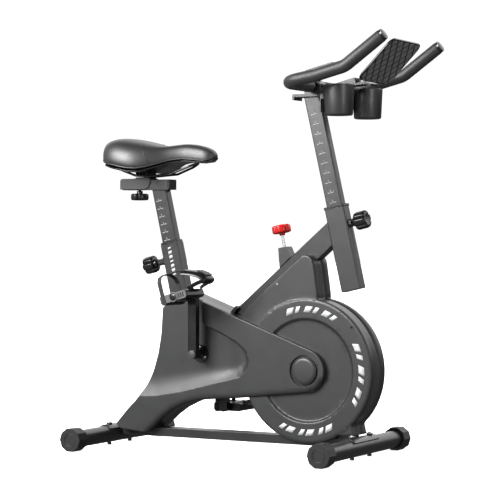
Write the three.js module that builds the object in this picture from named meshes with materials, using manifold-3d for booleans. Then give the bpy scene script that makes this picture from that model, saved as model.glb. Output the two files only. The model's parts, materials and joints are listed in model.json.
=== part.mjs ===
// Indoor cycling bike: welded steel frame, belt-driven flywheel under moulded covers, and sliding saddle and
// handlebar posts.
// Frame of the part: +X towards the handlebar, +Y to the rider's left, +Z up, in millimetres, standing on z = 0.
import * as THREE from "three";
import { mergeVertices } from "three/addons/utils/BufferGeometryUtils.js";
import Module from "manifold-3d";

const wasm = await Module();
wasm.setup();

// ---------------------------------------------------------------- driving dimensions
const RAD = Math.PI / 180;
const BEND_STEPS = 3; // straight pieces in each bend of a tube
const GAP = 0.35; // clearance left between pieces that rest on each other
const LEAN = 13 * RAD; // both posts lean back from the vertical

const FEET_HALF_SPACING = 395; // stabilisers in front of and behind the origin
const FEET_HALF_LENGTH = 260;
const CAP_LENGTH = 42;
const CAP_APOTHEM = 32.5;
const FOOT_TUBE_R = 24.5;

const RAIL = { halfLength: 369, halfWidth: 25, low: 30, high: 55 };

const BRACKET = { x: -88, z: 277 }; // crank axle
const AXLE = { x: 248, z: 239 }; // flywheel axle
const CRANK_LENGTH = 165;

const SPINE = { low: [-88, 281.6], high: [332.3, 638.1], depth: 60, width: 36 };
const LEG = { foot: [-338, 56], depth: 34, width: 40 };
const HEAD = { low: [373, 463], length: 232, depth: 60, width: 38 };
const SEAT_TUBE = { high: [-213.7, 589.5], length: 353, depth: 58, width: 38 };
const POST = { depth: 49, width: 28, wall: 2 };
const BAR_POST_TOP = 320; // along the head tube axis, from the head tube's lower end
const BAR_POST_LENGTH = 423;
const SEAT_POST_TOP = 160.2; // along the seat tube axis, from its upper end
const SEAT_POST_LENGTH = 305;

const FLYWHEEL = { r: 170, halfWidth: 17, rimDepth: 30, webHalf: 3.2, hubR: 30, hubHalf: 14, bore: 8.8 };
const PULLEY = { crankR: 84, axleR: 24, outer: -41, inner: -30.5, belt: 3 };

const SHROUD = { r: 201, face: 46, wall: 3, ringR: 145, ringDepth: 1.2 };
const COVER = { face: 58, floor: 47.6, leftFace: 46, wall: 2.6, noseR: 61 };

const ARM = { inner: 78, outer: 98, width: 26 };
const PEDAL = { inner: 103, outer: 198, halfLength: 45, halfThick: 12, pitch: 16 * RAD };
const STRAP = { rear: -39, front: -26, thickness: 2.4 };

const BAR = { halfSpan: 187, tubeR: 12.5, foamR: 17.5, foamBore: 14, foamStart: 34 };
const CUP = { x: 372, y: 90, low: 939, high: 1023, r: 42, foot: 38, wall: 2.2 };
const TRAY = { low: [434, 1030], length: 149, halfWidth: 98, tilt: 45.5 * RAD, thickness: 11 };
const BRAKE = { top: [157, 581], tilt: 11 * RAD, gap: 9 };

// ---------------------------------------------------------------- materials
const material = (color, roughness, metalness = 0) =>
  new THREE.MeshStandardMaterial({ color, roughness, metalness });
const PAINT = material(0x3b3c3e, 0.5, 0.15);
const SHELL = material(0x3e3f41, 0.55);
const BLACK_PLASTIC = material(0x1b1b1c, 0.5);
const RUBBER = material(0x26272a, 0.8);
const FOAM = material(0x2f3032, 0.9);
const VINYL = material(0x2b2b2d, 0.45);
const STEEL = material(0xb9bbbe, 0.3, 0.9);
const BLACK_STEEL = material(0x202123, 0.4, 0.6);
const CAST_IRON = material(0x55575a, 0.45, 0.8);
const ALLOY = material(0x6b6c6f, 0.35, 0.7);
const FELT = material(0x8a8172, 0.95);
const RED = material(0xd0201c, 0.35);

// ---------------------------------------------------------------- solid helpers
// A closed geometry as a solid with its faces pointing out.
function solid(geometry) {
  const plain = geometry.index ? geometry.toNonIndexed() : geometry.clone();
  plain.deleteAttribute("normal");
  plain.deleteAttribute("uv");
  const merged = mergeVertices(plain, 1e-3);
  const triVerts = new Uint32Array(merged.index.array);
  const make = () =>
    new wasm.Manifold(new wasm.Mesh({ numProp: 3, vertProperties: merged.attributes.position.array, triVerts }));
  const made = make();
  if (made.volume() >= 0) return made;
  for (let i = 0; i < triVerts.length; i += 3) {
    [triVerts[i + 1], triVerts[i + 2]] = [triVerts[i + 2], triVerts[i + 1]];
  }
  return make();
}

function geometryOf(manifold) {
  const mesh = manifold.getMesh();
  const geometry = new THREE.BufferGeometry();
  geometry.setAttribute("position", new THREE.BufferAttribute(mesh.vertProperties, mesh.numProp));
  geometry.setIndex(new THREE.BufferAttribute(mesh.triVerts, 1));
  geometry.computeVertexNormals();
  return geometry;
}

const cut = (body, ...tools) => tools.reduce((rest, tool) => rest.subtract(tool), body);
const join = (body, ...more) => more.reduce((sum, piece) => sum.add(piece), body);

// An axis-aligned block between two corners.
function block(low, high) {
  const geometry = new THREE.BoxGeometry(high[0] - low[0], high[1] - low[1], high[2] - low[2]);
  geometry.translate((low[0] + high[0]) / 2, (low[1] + high[1]) / 2, (low[2] + high[2]) / 2);
  return solid(geometry);
}

// An outline in the XZ plane, extruded from y0 to y1.
function sidePlate(points, y0, y1) {
  const shape = new THREE.Shape(points.map(([x, z]) => new THREE.Vector2(x, z)));
  const geometry = new THREE.ExtrudeGeometry(shape, { depth: y1 - y0, bevelEnabled: false });
  geometry.rotateX(Math.PI / 2);
  geometry.translate(0, y1, 0);
  return solid(geometry);
}

// An outline in the YZ plane, extruded from x0 to x1.
function frontPlate(points, x0, x1) {
  const shape = new THREE.Shape(points.map(([y, z]) => new THREE.Vector2(y, z)));
  const geometry = new THREE.ExtrudeGeometry(shape, { depth: x1 - x0, bevelEnabled: false });
  geometry.rotateY(Math.PI / 2);
  geometry.rotateX(Math.PI / 2);
  geometry.translate(x0, 0, 0);
  return solid(geometry);
}

// An outline in the XY plane, extruded from z0 to z1.
function planPlate(points, z0, z1) {
  const shape = new THREE.Shape(points.map(([x, y]) => new THREE.Vector2(x, y)));
  const geometry = new THREE.ExtrudeGeometry(shape, { depth: z1 - z0, bevelEnabled: false });
  geometry.translate(0, 0, z0);
  return solid(geometry);
}

// A round bar across the bike, along Y.
function crossBar(radius, y0, y1, x, z, sides = 24) {
  const geometry = new THREE.CylinderGeometry(radius, radius, y1 - y0, sides);
  geometry.translate(x, (y0 + y1) / 2, z);
  return solid(geometry);
}

// A turned piece about the Y direction through (x, z); profile is [radius, y] pairs.
function turnedY(profile, x, z, sides = 24) {
  const geometry = new THREE.LatheGeometry(profile.map(([r, y]) => new THREE.Vector2(r, y)), sides);
  geometry.translate(x, 0, z);
  return solid(geometry);
}

// A turned piece about the Z direction through (x, y); profile is [radius, z] pairs.
function turnedZ(profile, x = 0, y = 0, sides = 24) {
  const geometry = new THREE.LatheGeometry(profile.map(([r, z]) => new THREE.Vector2(r, -z)), sides);
  geometry.rotateX(-Math.PI / 2);
  geometry.translate(x, y, 0);
  return solid(geometry);
}

// A rectangle with chamfered corners, as points.
function chamfered(width, height, chamfer) {
  const [w, h] = [width / 2, height / 2];
  return [
    [w - chamfer, -h], [w, -h + chamfer], [w, h - chamfer], [w - chamfer, h],
    [-w + chamfer, h], [-w, h - chamfer], [-w, -h + chamfer], [-w + chamfer, -h],
  ];
}

// A bar of a chamfered section between two points of the XZ plane.
function leaningBar(from, to, depth, width, chamfer) {
  const [dx, dz] = [to[0] - from[0], to[1] - from[1]];
  const shape = new THREE.Shape(chamfered(depth, width, chamfer).map(([a, b]) => new THREE.Vector2(a, b)));
  const geometry = new THREE.ExtrudeGeometry(shape, { depth: Math.hypot(dx, dz), bevelEnabled: false });
  geometry.rotateY(Math.atan2(dx, dz));
  geometry.translate(from[0], 0, from[1]);
  return solid(geometry);
}

// The same bar as a hollow tube, open at both ends.
function leaningTube(from, to, depth, width, wall, chamfer) {
  const length = Math.hypot(to[0] - from[0], to[1] - from[1]);
  const [ux, uz] = [(to[0] - from[0]) / length, (to[1] - from[1]) / length];
  const reach = 5;
  const inner = leaningBar(
    [from[0] - ux * reach, from[1] - uz * reach],
    [to[0] + ux * reach, to[1] + uz * reach],
    depth - 2 * wall, width - 2 * wall, Math.max(chamfer - wall / 2, 1),
  );
  return cut(leaningBar(from, to, depth, width, chamfer), inner);
}

// Points of an arc about a centre, angles in degrees.
function arc(x, z, radius, from, to, steps) {
  return Array.from({ length: steps + 1 }, (_, i) => {
    const angle = (from + ((to - from) * i) / steps) * RAD;
    return [x + radius * Math.cos(angle), z + radius * Math.sin(angle)];
  });
}

// A closed outline moved inwards (positive distance) or outwards, with mitred corners.
function inset(points, distance) {
  const area = points.reduce((sum, [x, z], i) => {
    const [nx, nz] = points[(i + 1) % points.length];
    return sum + x * nz - nx * z;
  }, 0);
  const side = Math.sign(area) * distance;
  return points.map((point, i) => {
    const before = points[(i + points.length - 1) % points.length];
    const after = points[(i + 1) % points.length];
    const normal = (a, b) => {
      const length = Math.hypot(b[0] - a[0], b[1] - a[1]);
      return [-(b[1] - a[1]) / length, (b[0] - a[0]) / length];
    };
    const [n, m] = [normal(before, point), normal(point, after)];
    const scale = side / Math.max(1 + n[0] * m[0] + n[1] * m[1], 0.4);
    return [point[0] + (n[0] + m[0]) * scale, point[1] + (n[1] + m[1]) * scale];
  });
}

// The outline of a band of even thickness along an open line.
function band(line, thickness) {
  const offset = (side) =>
    line.map((point, i) => {
      const before = line[Math.max(i - 1, 0)];
      const after = line[Math.min(i + 1, line.length - 1)];
      const length = Math.hypot(after[0] - before[0], after[1] - before[1]);
      const half = (side * thickness) / 2;
      const across = [-(after[1] - before[1]) / length, (after[0] - before[0]) / length];
      return [point[0] + across[0] * half, point[1] + across[1] * half];
    });
  return [...offset(1), ...offset(-1).reverse()];
}

// A straight-sided line in space, with each corner turned into a short curve.
function bentLine(points, radius) {
  const at = points.map((p) => new THREE.Vector3(...p));
  const line = [at[0]];
  for (let i = 1; i < at.length - 1; i += 1) {
    const back = at[i - 1].clone().sub(at[i]);
    const on = at[i + 1].clone().sub(at[i]);
    const reach = Math.min(radius, back.length() * 0.49, on.length() * 0.49);
    const enter = at[i].clone().add(back.setLength(reach));
    const leave = at[i].clone().add(on.setLength(reach));
    line.push(...new THREE.QuadraticBezierCurve3(enter, at[i], leave).getPoints(BEND_STEPS));
  }
  line.push(at[at.length - 1]);
  return line;
}

// A round rod along a line that is never vertical.
function rod(line, radius, sides) {
  const positions = [];
  const index = [];
  line.forEach((centre, i) => {
    const tangent = line[Math.min(i + 1, line.length - 1)].clone().sub(line[Math.max(i - 1, 0)]).normalize();
    const side = new THREE.Vector3().crossVectors(tangent, new THREE.Vector3(0, 0, 1)).normalize();
    const rise = new THREE.Vector3().crossVectors(side, tangent);
    for (let j = 0; j < sides; j += 1) {
      const angle = (j / sides) * 2 * Math.PI;
      const point = centre.clone().addScaledVector(side, radius * Math.cos(angle));
      positions.push(...point.addScaledVector(rise, radius * Math.sin(angle)));
    }
  });
  for (let i = 0; i < line.length - 1; i += 1) {
    for (let j = 0; j < sides; j += 1) {
      const [a, b] = [i * sides + j, i * sides + ((j + 1) % sides)];
      index.push(a, a + sides, b, b, a + sides, b + sides);
    }
  }
  const last = (line.length - 1) * sides;
  for (let j = 1; j < sides - 1; j += 1) {
    index.push(0, j, j + 1, last, last + j + 1, last + j);
  }
  const geometry = new THREE.BufferGeometry();
  geometry.setAttribute("position", new THREE.Float32BufferAttribute(positions, 3));
  geometry.setIndex(index);
  return solid(geometry);
}

// A hand knob with rounded lobes; its axis is local Z, from z0 to z1.
function lobedKnob(radius, z0, z1, lobes) {
  const steps = lobes * 4;
  const outline = Array.from({ length: steps }, (_, i) => {
    const angle = (i / steps) * 2 * Math.PI;
    const r = radius * (0.93 + 0.07 * Math.cos(angle * lobes));
    return new THREE.Vector2(r * Math.cos(angle), r * Math.sin(angle));
  });
  const edge = 3;
  const options = {
    depth: z1 - z0 - 2 * edge,
    bevelSize: edge,
    bevelOffset: -edge,
    bevelThickness: edge,
    bevelSegments: 1,
  };
  const geometry = new THREE.ExtrudeGeometry(new THREE.Shape(outline), options);
  geometry.translate(0, 0, z0 + edge);
  return solid(geometry);
}

const bike = new THREE.Group();

function add(group, name, manifold, finish) {
  const mesh = new THREE.Mesh(geometryOf(manifold), finish);
  mesh.name = name;
  group.add(mesh);
  return mesh;
}

// ---------------------------------------------------------------- outlines
const up = [-Math.sin(LEAN), Math.cos(LEAN)];
const out = [Math.cos(LEAN), Math.sin(LEAN)];
const along = (base, direction, distance) => [
  base[0] + direction[0] * distance,
  base[1] + direction[1] * distance,
];

const headTop = along(HEAD.low, up, HEAD.length);
const seatTubeLow = along(SEAT_TUBE.high, up, -SEAT_TUBE.length);

const noseLow = -83;
const noseHigh = 69.7;
const coverOutline = [
  [-371, 64], [-358, 50], [-268, 43],
  [-242, 65], [-214, 90], [-180, 113.5], [-136, 134], [-92, 144], [-37, 149], [33, 154],
  ...arc(AXLE.x, AXLE.z, COVER.noseR, noseLow, noseHigh, 10),
  [-146, 450], [-176, 432], [-217.5, 406],
  [-219, 379], [-223, 326], [-232.7, 273], [-248.5, 222], [-271, 176], [-300, 138], [-334, 105],
];

const recessOutline = [
  [-79, 470], [-79, 368], [-70, 361], [-11, 337],
  ...arc(30, 262, 47, 60, -70, 7),
  [-38, 193], [-148, 165], [-232, 150], [-340, 147], [-340, 470],
];

const gussetTop = [[283, 450], [271, 536], [266, 549], [256, 558], [244, 561], [232, 558]];
const shroudOutline = [
  ...arc(AXLE.x, AXLE.z, SHROUD.r, 187, 300.5, 16),
  [350, 64.5], [394, 64.5], [387, 93.5],
  ...arc(AXLE.x, AXLE.z, SHROUD.r, 320.5, 440, 18),
  ...gussetTop,
  [36, 391], [28, 380],
];

// ---------------------------------------------------------------- frame
const bracketTool = crossBar(23.6, -60, 60, BRACKET.x, BRACKET.z, 24);
const headTool = leaningBar(
  along(HEAD.low, up, -20), along(headTop, up, 20), HEAD.depth + 0.8, HEAD.width + 0.8, 3,
);
const legEnd = along(LEG.foot, [LEG.foot[0] - BRACKET.x, LEG.foot[1] - BRACKET.z], 0.2);
const legTool = leaningBar([BRACKET.x, BRACKET.z], legEnd, LEG.depth + 0.8, LEG.width + 8, 1);
const spineTool = leaningBar(SPINE.low, SPINE.high, SPINE.depth + 1.2, SPINE.width + 1.2, 3);
const seatTubeTool = leaningBar(
  seatTubeLow, along(SEAT_TUBE.high, up, 5), SEAT_TUBE.depth + 2, SEAT_TUBE.width + 2, 3,
);
const railTool = block([-400, -25.6, 29.4], [400, 25.6, 55.6]);
const belowRail = join(
  block([-420, -60, -10], [-200, 60, RAIL.high + GAP]),
  block([-420, -60, 50], [-358, 60, 90]),
);

function brakePoint(distance) {
  return [BRAKE.top[0] + Math.sin(BRAKE.tilt) * distance, BRAKE.top[1] - Math.cos(BRAKE.tilt) * distance];
}

// A round bar or bore on the brake's leaning axis, between two distances down from the housing top.
function brakeBar(radius, from, to, sides = 16) {
  const geometry = new THREE.CylinderGeometry(radius, radius, to - from, sides);
  geometry.rotateX(Math.PI / 2);
  geometry.rotateY(-BRAKE.tilt);
  const middle = brakePoint((from + to) / 2);
  geometry.translate(middle[0], 0, middle[1]);
  return solid(geometry);
}

const frame = new THREE.Group();
bike.add(frame);

function stabiliser(name, x) {
  const boltHole = (y) => turnedZ([[0, -5], [4.9, -5], [4.9, 80], [0, 80]], x, y, 8);
  const holes = [boltHole(-55), boltHole(55)];
  const end = FEET_HALF_LENGTH - 6.5;
  const tube = cut(
    crossBar(FOOT_TUBE_R, -end, end, x, CAP_APOTHEM, 20),
    crossBar(FOOT_TUBE_R - 2, -300, 300, x, CAP_APOTHEM, 20),
    ...holes,
  );
  add(frame, `${name}_stabiliser`, tube, PAINT);

  const saddle = sidePlate(
    [
      ...arc(x, CAP_APOTHEM, FOOT_TUBE_R + 4.2, 40, 140, 10),
      ...arc(x, CAP_APOTHEM, FOOT_TUBE_R + GAP, 140, 40, 10),
    ],
    -78, 78,
  );
  const bolt = (y) =>
    turnedZ([[0, 1.8], [6.5, 1.8], [6.5, 7.6], [4, 7.6], [4, 61], [9, 61], [9, 65.6], [0, 65.6]], x, y, 8);
  add(frame, `${name}_mount_plate`, join(saddle, bolt(-55), bolt(55)), PAINT);

  for (const [side, sign] of [["right", -1], ["left", 1]]) {
    const capFrom = FEET_HALF_LENGTH - CAP_LENGTH;
    const corner = CAP_APOTHEM / Math.cos(Math.PI / 10);
    const outer = new THREE.CylinderGeometry(corner, corner, CAP_LENGTH, 10);
    outer.rotateY(Math.PI / 10);
    outer.translate(x, capFrom + CAP_LENGTH / 2, CAP_APOTHEM);
    const cap = cut(
      solid(outer),
      crossBar(FOOT_TUBE_R + 0.9, capFrom - 1, FEET_HALF_LENGTH - 6, x, CAP_APOTHEM, 20),
      crossBar(19, FEET_HALF_LENGTH - 1.5, FEET_HALF_LENGTH + 1, x, CAP_APOTHEM, 20),
    );
    const mesh = add(frame, `${name}_end_cap_${side}`, cap, RUBBER);
    mesh.scale.y = sign;
  }
}
stabiliser("rear", -FEET_HALF_SPACING);
stabiliser("front", FEET_HALF_SPACING);

const railHoles = block([-400, -RAIL.halfWidth + 2, RAIL.low + 2], [400, RAIL.halfWidth - 2, RAIL.high - 2]);
const rail = cut(
  block([-RAIL.halfLength, -RAIL.halfWidth, RAIL.low], [RAIL.halfLength, RAIL.halfWidth, RAIL.high]),
  railHoles,
);
add(frame, "base_rail", rail, PAINT);

const brakeBore = brakeBar(4.6, -20, 150);
const spine = cut(
  leaningTube(SPINE.low, SPINE.high, SPINE.depth, SPINE.width, 2.5, 3),
  bracketTool, headTool, brakeBore,
);
add(frame, "main_tube", spine, PAINT);

// Rear leg with the bottom bracket shell welded to its upper end.
const shellHalf = 27;
const bracketBore = crossBar(18, -50, 50, BRACKET.x, BRACKET.z, 24);
const legTube = leaningTube([BRACKET.x, BRACKET.z], legEnd, LEG.depth, LEG.width, 2, 2);
const bracketShell = crossBar(23, -shellHalf, shellHalf, BRACKET.x, BRACKET.z, 24);
const leg = cut(join(bracketShell, legTube), bracketBore, belowRail);
add(frame, "rear_leg", leg, PAINT);

// A pull pin stands square to its post: bore, clearance in the bush, and the barrel welded to the tube.
const SEAT_PIN_AT = -45;
const SEAT_KNOB_AT = 66;
const BAR_PIN_AT = 182.4;
const BAR_KNOB_AT = 51;
const KNOB_LENGTH = 35;

function pinBar(base, distance, direction, from, to, radius) {
  const root = along(base, up, distance);
  const size = 2 * radius;
  const [start, end] = [from, to].map((reach) => along(root, out, direction * reach));
  return leaningBar(start, end, size, size, radius * 0.58);
}
const pinBore = (base, distance, direction) => pinBar(base, distance, direction, 10, 120, 4.9);
const pinBarrel = (base, distance, direction, half, knobAt) =>
  join(
    pinBar(base, distance, direction, half - 1, half + 9, 11),
    pinBar(base, distance, direction, half, knobAt - 12, 9),
  );

const seatTube = cut(
  join(
    cut(
      leaningTube(seatTubeLow, SEAT_TUBE.high, SEAT_TUBE.depth, SEAT_TUBE.width, 2, 3),
      legTool, bracketTool, spineTool,
    ),
    pinBarrel(SEAT_TUBE.high, SEAT_PIN_AT, -1, SEAT_TUBE.depth / 2, SEAT_KNOB_AT),
  ),
  pinBore(SEAT_TUBE.high, SEAT_PIN_AT, -1),
);
add(frame, "seat_tube", seatTube, PAINT);

const headTube = cut(
  join(
    leaningTube(HEAD.low, headTop, HEAD.depth, HEAD.width, 2.2, 3),
    leaningBar(HEAD.low, along(HEAD.low, up, 3), HEAD.depth - 2, HEAD.width - 2, 2),
    pinBarrel(HEAD.low, BAR_PIN_AT, 1, HEAD.depth / 2, BAR_KNOB_AT),
  ),
  pinBore(HEAD.low, BAR_PIN_AT, 1),
);
add(frame, "head_tube", headTube, PAINT);

// Plastic guide bush: a collar on the tube's mouth, larger than the tube by overhang, and a sleeve inside it.
function guideBush(top, tube, wall, overhang) {
  const play = 2 * wall + 0.7;
  const sleeve = leaningBar(along(top, up, -70), along(top, up, 1), tube.depth - play, tube.width - play, 2.2);
  const collar = leaningBar(
    along(top, up, GAP), along(top, up, 7), tube.depth + overhang, tube.width + overhang, 3.5,
  );
  const bore = leaningBar(along(top, up, -80), along(top, up, 20), POST.depth + 0.8, POST.width + 0.8, 4);
  return cut(join(sleeve, collar), bore);
}
const seatPinClear = pinBore(SEAT_TUBE.high, SEAT_PIN_AT, -1);
const barPinClear = pinBore(HEAD.low, BAR_PIN_AT, 1);
const seatBush = cut(guideBush(SEAT_TUBE.high, SEAT_TUBE, 2, -1.4), seatPinClear);
add(frame, "seat_tube_bush", seatBush, BLACK_PLASTIC);
const headBush = cut(guideBush(headTop, HEAD, 2.2, 3), barPinClear);
add(frame, "head_tube_bush", headBush, BLACK_PLASTIC);

const cartridge = cut(
  crossBar(17.5, -shellHalf, shellHalf, BRACKET.x, BRACKET.z, 24),
  crossBar(10, -50, 50, BRACKET.x, BRACKET.z, 24),
);
add(frame, "bottom_bracket_bearing", cartridge, STEEL);

const forkOutline = [
  [206, 512], [253, 551], [282, 262], [368, 104], [376, 60], [376, RAIL.high + GAP], [340, RAIL.high + GAP],
  [340, 70], [222, 216],
];
for (const [side, sign] of [["right", -1], ["left", 1]]) {
  const [inner, outer] = [22.6, 27.6];
  const [y0, y1] = sign < 0 ? [-outer, -inner] : [inner, outer];
  const plate = cut(sidePlate(forkOutline, y0, y1), crossBar(8.95, -60, 60, AXLE.x, AXLE.z, 20));
  add(frame, `fork_plate_${side}`, plate, PAINT);
}

// Resistance housing on top of the main tube.
const housing = cut(
  sidePlate([[150, 523.6], [146, 578], [171, 582.5], [185, 553.4]], -17.5, 17.5),
  brakeBar(4.6, -20, 80),
  spineTool,
);
add(frame, "resistance_housing", housing, SHELL);

// ---------------------------------------------------------------- covers and shroud
const shroudGrown = inset(shroudOutline, -1.2);
const shroudTool = sidePlate(shroudGrown, -SHROUD.face - GAP, 120);
const openings = [railTool, seatTubeTool, spineTool];

// The round boss over the flywheel axle, on a face at the given distance from the middle plane.
function hubBoss(face, sign) {
  const profile = [[0, face - 1], [43, face - 1], [43, face + 1.6], [40, face + 3], [0, face + 3]];
  return turnedY(profile.map(([r, y]) => [r, sign * y]), AXLE.x, AXLE.z, 32);
}

function rightCover() {
  const outer = sidePlate(coverOutline, -COVER.face, -GAP);
  const hollow = sidePlate(inset(coverOutline, COVER.wall), -COVER.face + COVER.wall, 10);
  const recess = sidePlate(recessOutline, -COVER.face - 10, -COVER.floor);
  const recessWalls = sidePlate(inset(recessOutline, -COVER.wall), -COVER.face - 10, -COVER.floor + COVER.wall);
  const axleHole = crossBar(13, -80, 80, BRACKET.x, BRACKET.z);
  const shell = cut(outer, hollow.subtract(recessWalls), recess, axleHole, shroudTool, ...openings);
  return join(shell, hubBoss(COVER.face, -1));
}
add(frame, "side_cover_right", rightCover(), SHELL);

function leftCover() {
  const outer = sidePlate(coverOutline, GAP, COVER.leftFace);
  const hollow = sidePlate(inset(coverOutline, COVER.wall), -10, COVER.leftFace - COVER.wall);
  const tool = sidePlate(shroudGrown, -120, 120);
  const axleHole = crossBar(13, -80, 80, BRACKET.x, BRACKET.z);
  return cut(outer, hollow, axleHole, tool, ...openings);
}
add(frame, "side_cover_left", leftCover(), SHELL);

const beltSlot = block([20, -43, 180], [100, -28, 345]);
const footOpening = block([337, -30, 50], [383, 30, 82]);
function shroudHalf(sign) {
  const face = sign * SHROUD.face;
  const span = (a, b) => [Math.min(a, b), Math.max(a, b)];
  const outer = sidePlate(shroudOutline, ...span(face, sign * GAP));
  const hollow = sidePlate(inset(shroudOutline, SHROUD.wall), ...span(face - sign * SHROUD.wall, -sign * 10));
  const ringSpan = span(face + sign * 5, face - sign * SHROUD.ringDepth);
  const ring = crossBar(SHROUD.ringR, ...ringSpan, AXLE.x, AXLE.z, 40);
  const half = cut(outer, hollow, ring, beltSlot, footOpening, spineTool, railTool);
  return sign > 0 ? join(half, hubBoss(SHROUD.face - SHROUD.ringDepth, sign)) : half;
}
add(frame, "flywheel_shroud_right", shroudHalf(-1), SHELL);
add(frame, "flywheel_shroud_left", shroudHalf(1), SHELL);

// ---------------------------------------------------------------- flywheel and belt drive
const drive = new THREE.Group();
bike.add(drive);

const { r: wheelR, halfWidth: wheelHalf, rimDepth, webHalf, hubR, hubHalf, bore: wheelBore } = FLYWHEEL;
const wheelHalfProfile = [
  [wheelBore, hubHalf], [hubR, hubHalf], [hubR + 3, webHalf], [wheelR - rimDepth - 3, webHalf],
  [wheelR - rimDepth, wheelHalf], [wheelR - 2, wheelHalf], [wheelR, wheelHalf - 2],
];
const wheelProfile = [
  ...wheelHalfProfile,
  ...wheelHalfProfile.map(([r, y]) => [r, -y]).reverse(),
  wheelHalfProfile[0],
];
add(drive, "flywheel", turnedY(wheelProfile, AXLE.x, AXLE.z, 40), CAST_IRON);

function pulley(radius, bore, hub, axis, sides) {
  const { outer, inner } = PULLEY;
  const middle = (outer + inner) / 2;
  const profile = [
    [bore, outer], [hub, outer], [hub, middle], [radius - 7, middle], [radius - 7, outer], [radius, outer],
    [radius, inner], [bore, inner], [bore, outer],
  ];
  return turnedY(profile, axis.x, axis.z, sides);
}
add(drive, "drive_pulley", pulley(PULLEY.crankR, 9.9, 22, BRACKET, 36), BLACK_PLASTIC);
const axle = join(crossBar(8.5, -42, 40, AXLE.x, AXLE.z, 20), pulley(PULLEY.axleR, 8, 13, AXLE, 20));
add(drive, "flywheel_axle", axle, STEEL);

// The outline around both pulleys at a given height over their rims.
function beltOutline(over) {
  const distance = Math.hypot(AXLE.x - BRACKET.x, AXLE.z - BRACKET.z);
  const heading = Math.atan2(AXLE.z - BRACKET.z, AXLE.x - BRACKET.x) / RAD;
  const spread = Math.acos((PULLEY.crankR - PULLEY.axleR) / distance) / RAD;
  return [
    ...arc(BRACKET.x, BRACKET.z, PULLEY.crankR + over, heading + spread, heading + 360 - spread, 28),
    ...arc(AXLE.x, AXLE.z, PULLEY.axleR + over, heading - spread, heading + spread, 12),
  ];
}
const belt = cut(
  sidePlate(beltOutline(GAP + PULLEY.belt), PULLEY.outer + 0.5, PULLEY.inner - 0.5),
  sidePlate(beltOutline(GAP), -60, 0),
);
add(drive, "drive_belt", belt, RUBBER);

// ---------------------------------------------------------------- cranks and pedals
add(drive, "crank_axle", crossBar(9.5, -ARM.outer + 6, ARM.outer - 6, BRACKET.x, BRACKET.z, 20), STEEL);

// One crank with its pedal; sign is -1 for the right side, with the arm up, and 1 for the left, with it down.
function crank(side, sign) {
  const reach = -sign * CRANK_LENGTH;
  const span = (a, b) => [Math.min(sign * a, sign * b), Math.max(sign * a, sign * b)];
  const pedalZ = BRACKET.z + reach;
  const half = ARM.width / 2;
  const [from, to] = [Math.min(0, reach), Math.max(0, reach)];
  const armOutline = [
    ...arc(BRACKET.x, BRACKET.z + from, half, 180, 360, 8),
    ...arc(BRACKET.x, BRACKET.z + to, half, 0, 180, 8),
  ];
  const bolts = [90, 210, 330].map((angle) => {
    const [x, z] = arc(BRACKET.x, BRACKET.z, 19, angle, angle, 1)[0];
    return crossBar(3.2, ...span(51, 54), x, z, 6);
  });
  const arm = join(
    cut(
      join(
        sidePlate(armOutline, ...span(ARM.inner, ARM.outer)),
        crossBar(14, ...span(51, ARM.inner + 1), BRACKET.x, BRACKET.z, 20),
        crossBar(25, ...span(48.2, 51.8), BRACKET.x, BRACKET.z, 24),
        crossBar(11.5, ...span(ARM.outer - 1, ARM.outer + 2.2), BRACKET.x, BRACKET.z, 20),
        ...bolts,
      ),
      crossBar(9.9, ...span(40, ARM.outer - 5.5), BRACKET.x, BRACKET.z, 20),
    ),
    crossBar(7, ...span(ARM.inner + 1, PEDAL.outer - 6), BRACKET.x, pedalZ, 16),
  );
  add(drive, `crank_arm_${side}`, arm, BLACK_STEEL);

  const group = new THREE.Group();
  group.position.set(BRACKET.x, 0, pedalZ);
  bike.add(group);

  const turned = new THREE.Group();
  turned.rotation.y = sign < 0 ? -PEDAL.pitch : 0;
  group.add(turned);
  const { halfLength, halfThick, inner, outer } = PEDAL;
  const sideShape = [
    [-halfLength, -halfThick + 3], [-halfLength + 4, -halfThick],
    [halfLength - 6, -halfThick], [halfLength, -halfThick + 5],
    [halfLength, halfThick - 4], [halfLength - 5, halfThick],
    [-halfLength + 4, halfThick], [-halfLength, halfThick - 3],
  ];
  const [windowRight, windowLeft] = span(inner + 16, outer - 14);
  const window = (x0, x1) => block([x0, windowRight, -30], [x1, windowLeft, 30]);
  const body = cut(
    join(sidePlate(sideShape, ...span(inner, outer)), crossBar(10, ...span(outer - 1, outer + 2.6), 0, 0, 16)),
    crossBar(7.6, ...span(inner - 5, outer - 5), 0, 0, 16),
    window(-halfLength + 9, -12),
    window(12, halfLength - 11),
  );
  add(turned, `pedal_body_${side}`, body, BLACK_PLASTIC);

  // Toe cage: a hooped shell in front of the pedal, open towards the shoe.
  const cageLine = [[48.5, -3], [70, 2], [92, 17], [98, 26], [90, 36], [72, 50], [48, 60]];
  const cage = cut(
    sidePlate(band(cageLine, 3.2), ...span(inner + 14, outer - 10)),
    block([56, span(inner + 30, outer - 26)[0], 26], [74, span(inner + 30, outer - 26)[1], 80]),
  );
  add(turned, `toe_cage_${side}`, cage, BLACK_PLASTIC);

  // Toe strap: a loop across the pedal, under its body and over the shoe.
  const strapGap = 0.3;
  const strapOut = STRAP.thickness + strapGap;
  const strapLow = -halfThick - strapOut;
  const strapLoop = [
    [inner - strapOut, strapLow], [outer + strapOut, strapLow], [outer + strapOut, 50], [outer - 5, 64],
    [outer - 28, 73], [inner + 26, 73], [inner + 5, 62], [inner - strapOut, 46],
  ].map(([y, z]) => [sign * y, z]);
  const strap = cut(
    frontPlate(strapLoop, STRAP.rear, STRAP.front),
    frontPlate(inset(strapLoop, STRAP.thickness), STRAP.rear - 1, STRAP.front + 1),
  );
  add(turned, `toe_strap_${side}`, strap, RUBBER);
}
crank("right", -1);
crank("left", 1);

// ---------------------------------------------------------------- saddle assembly
const seat = new THREE.Group();
bike.add(seat);

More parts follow.
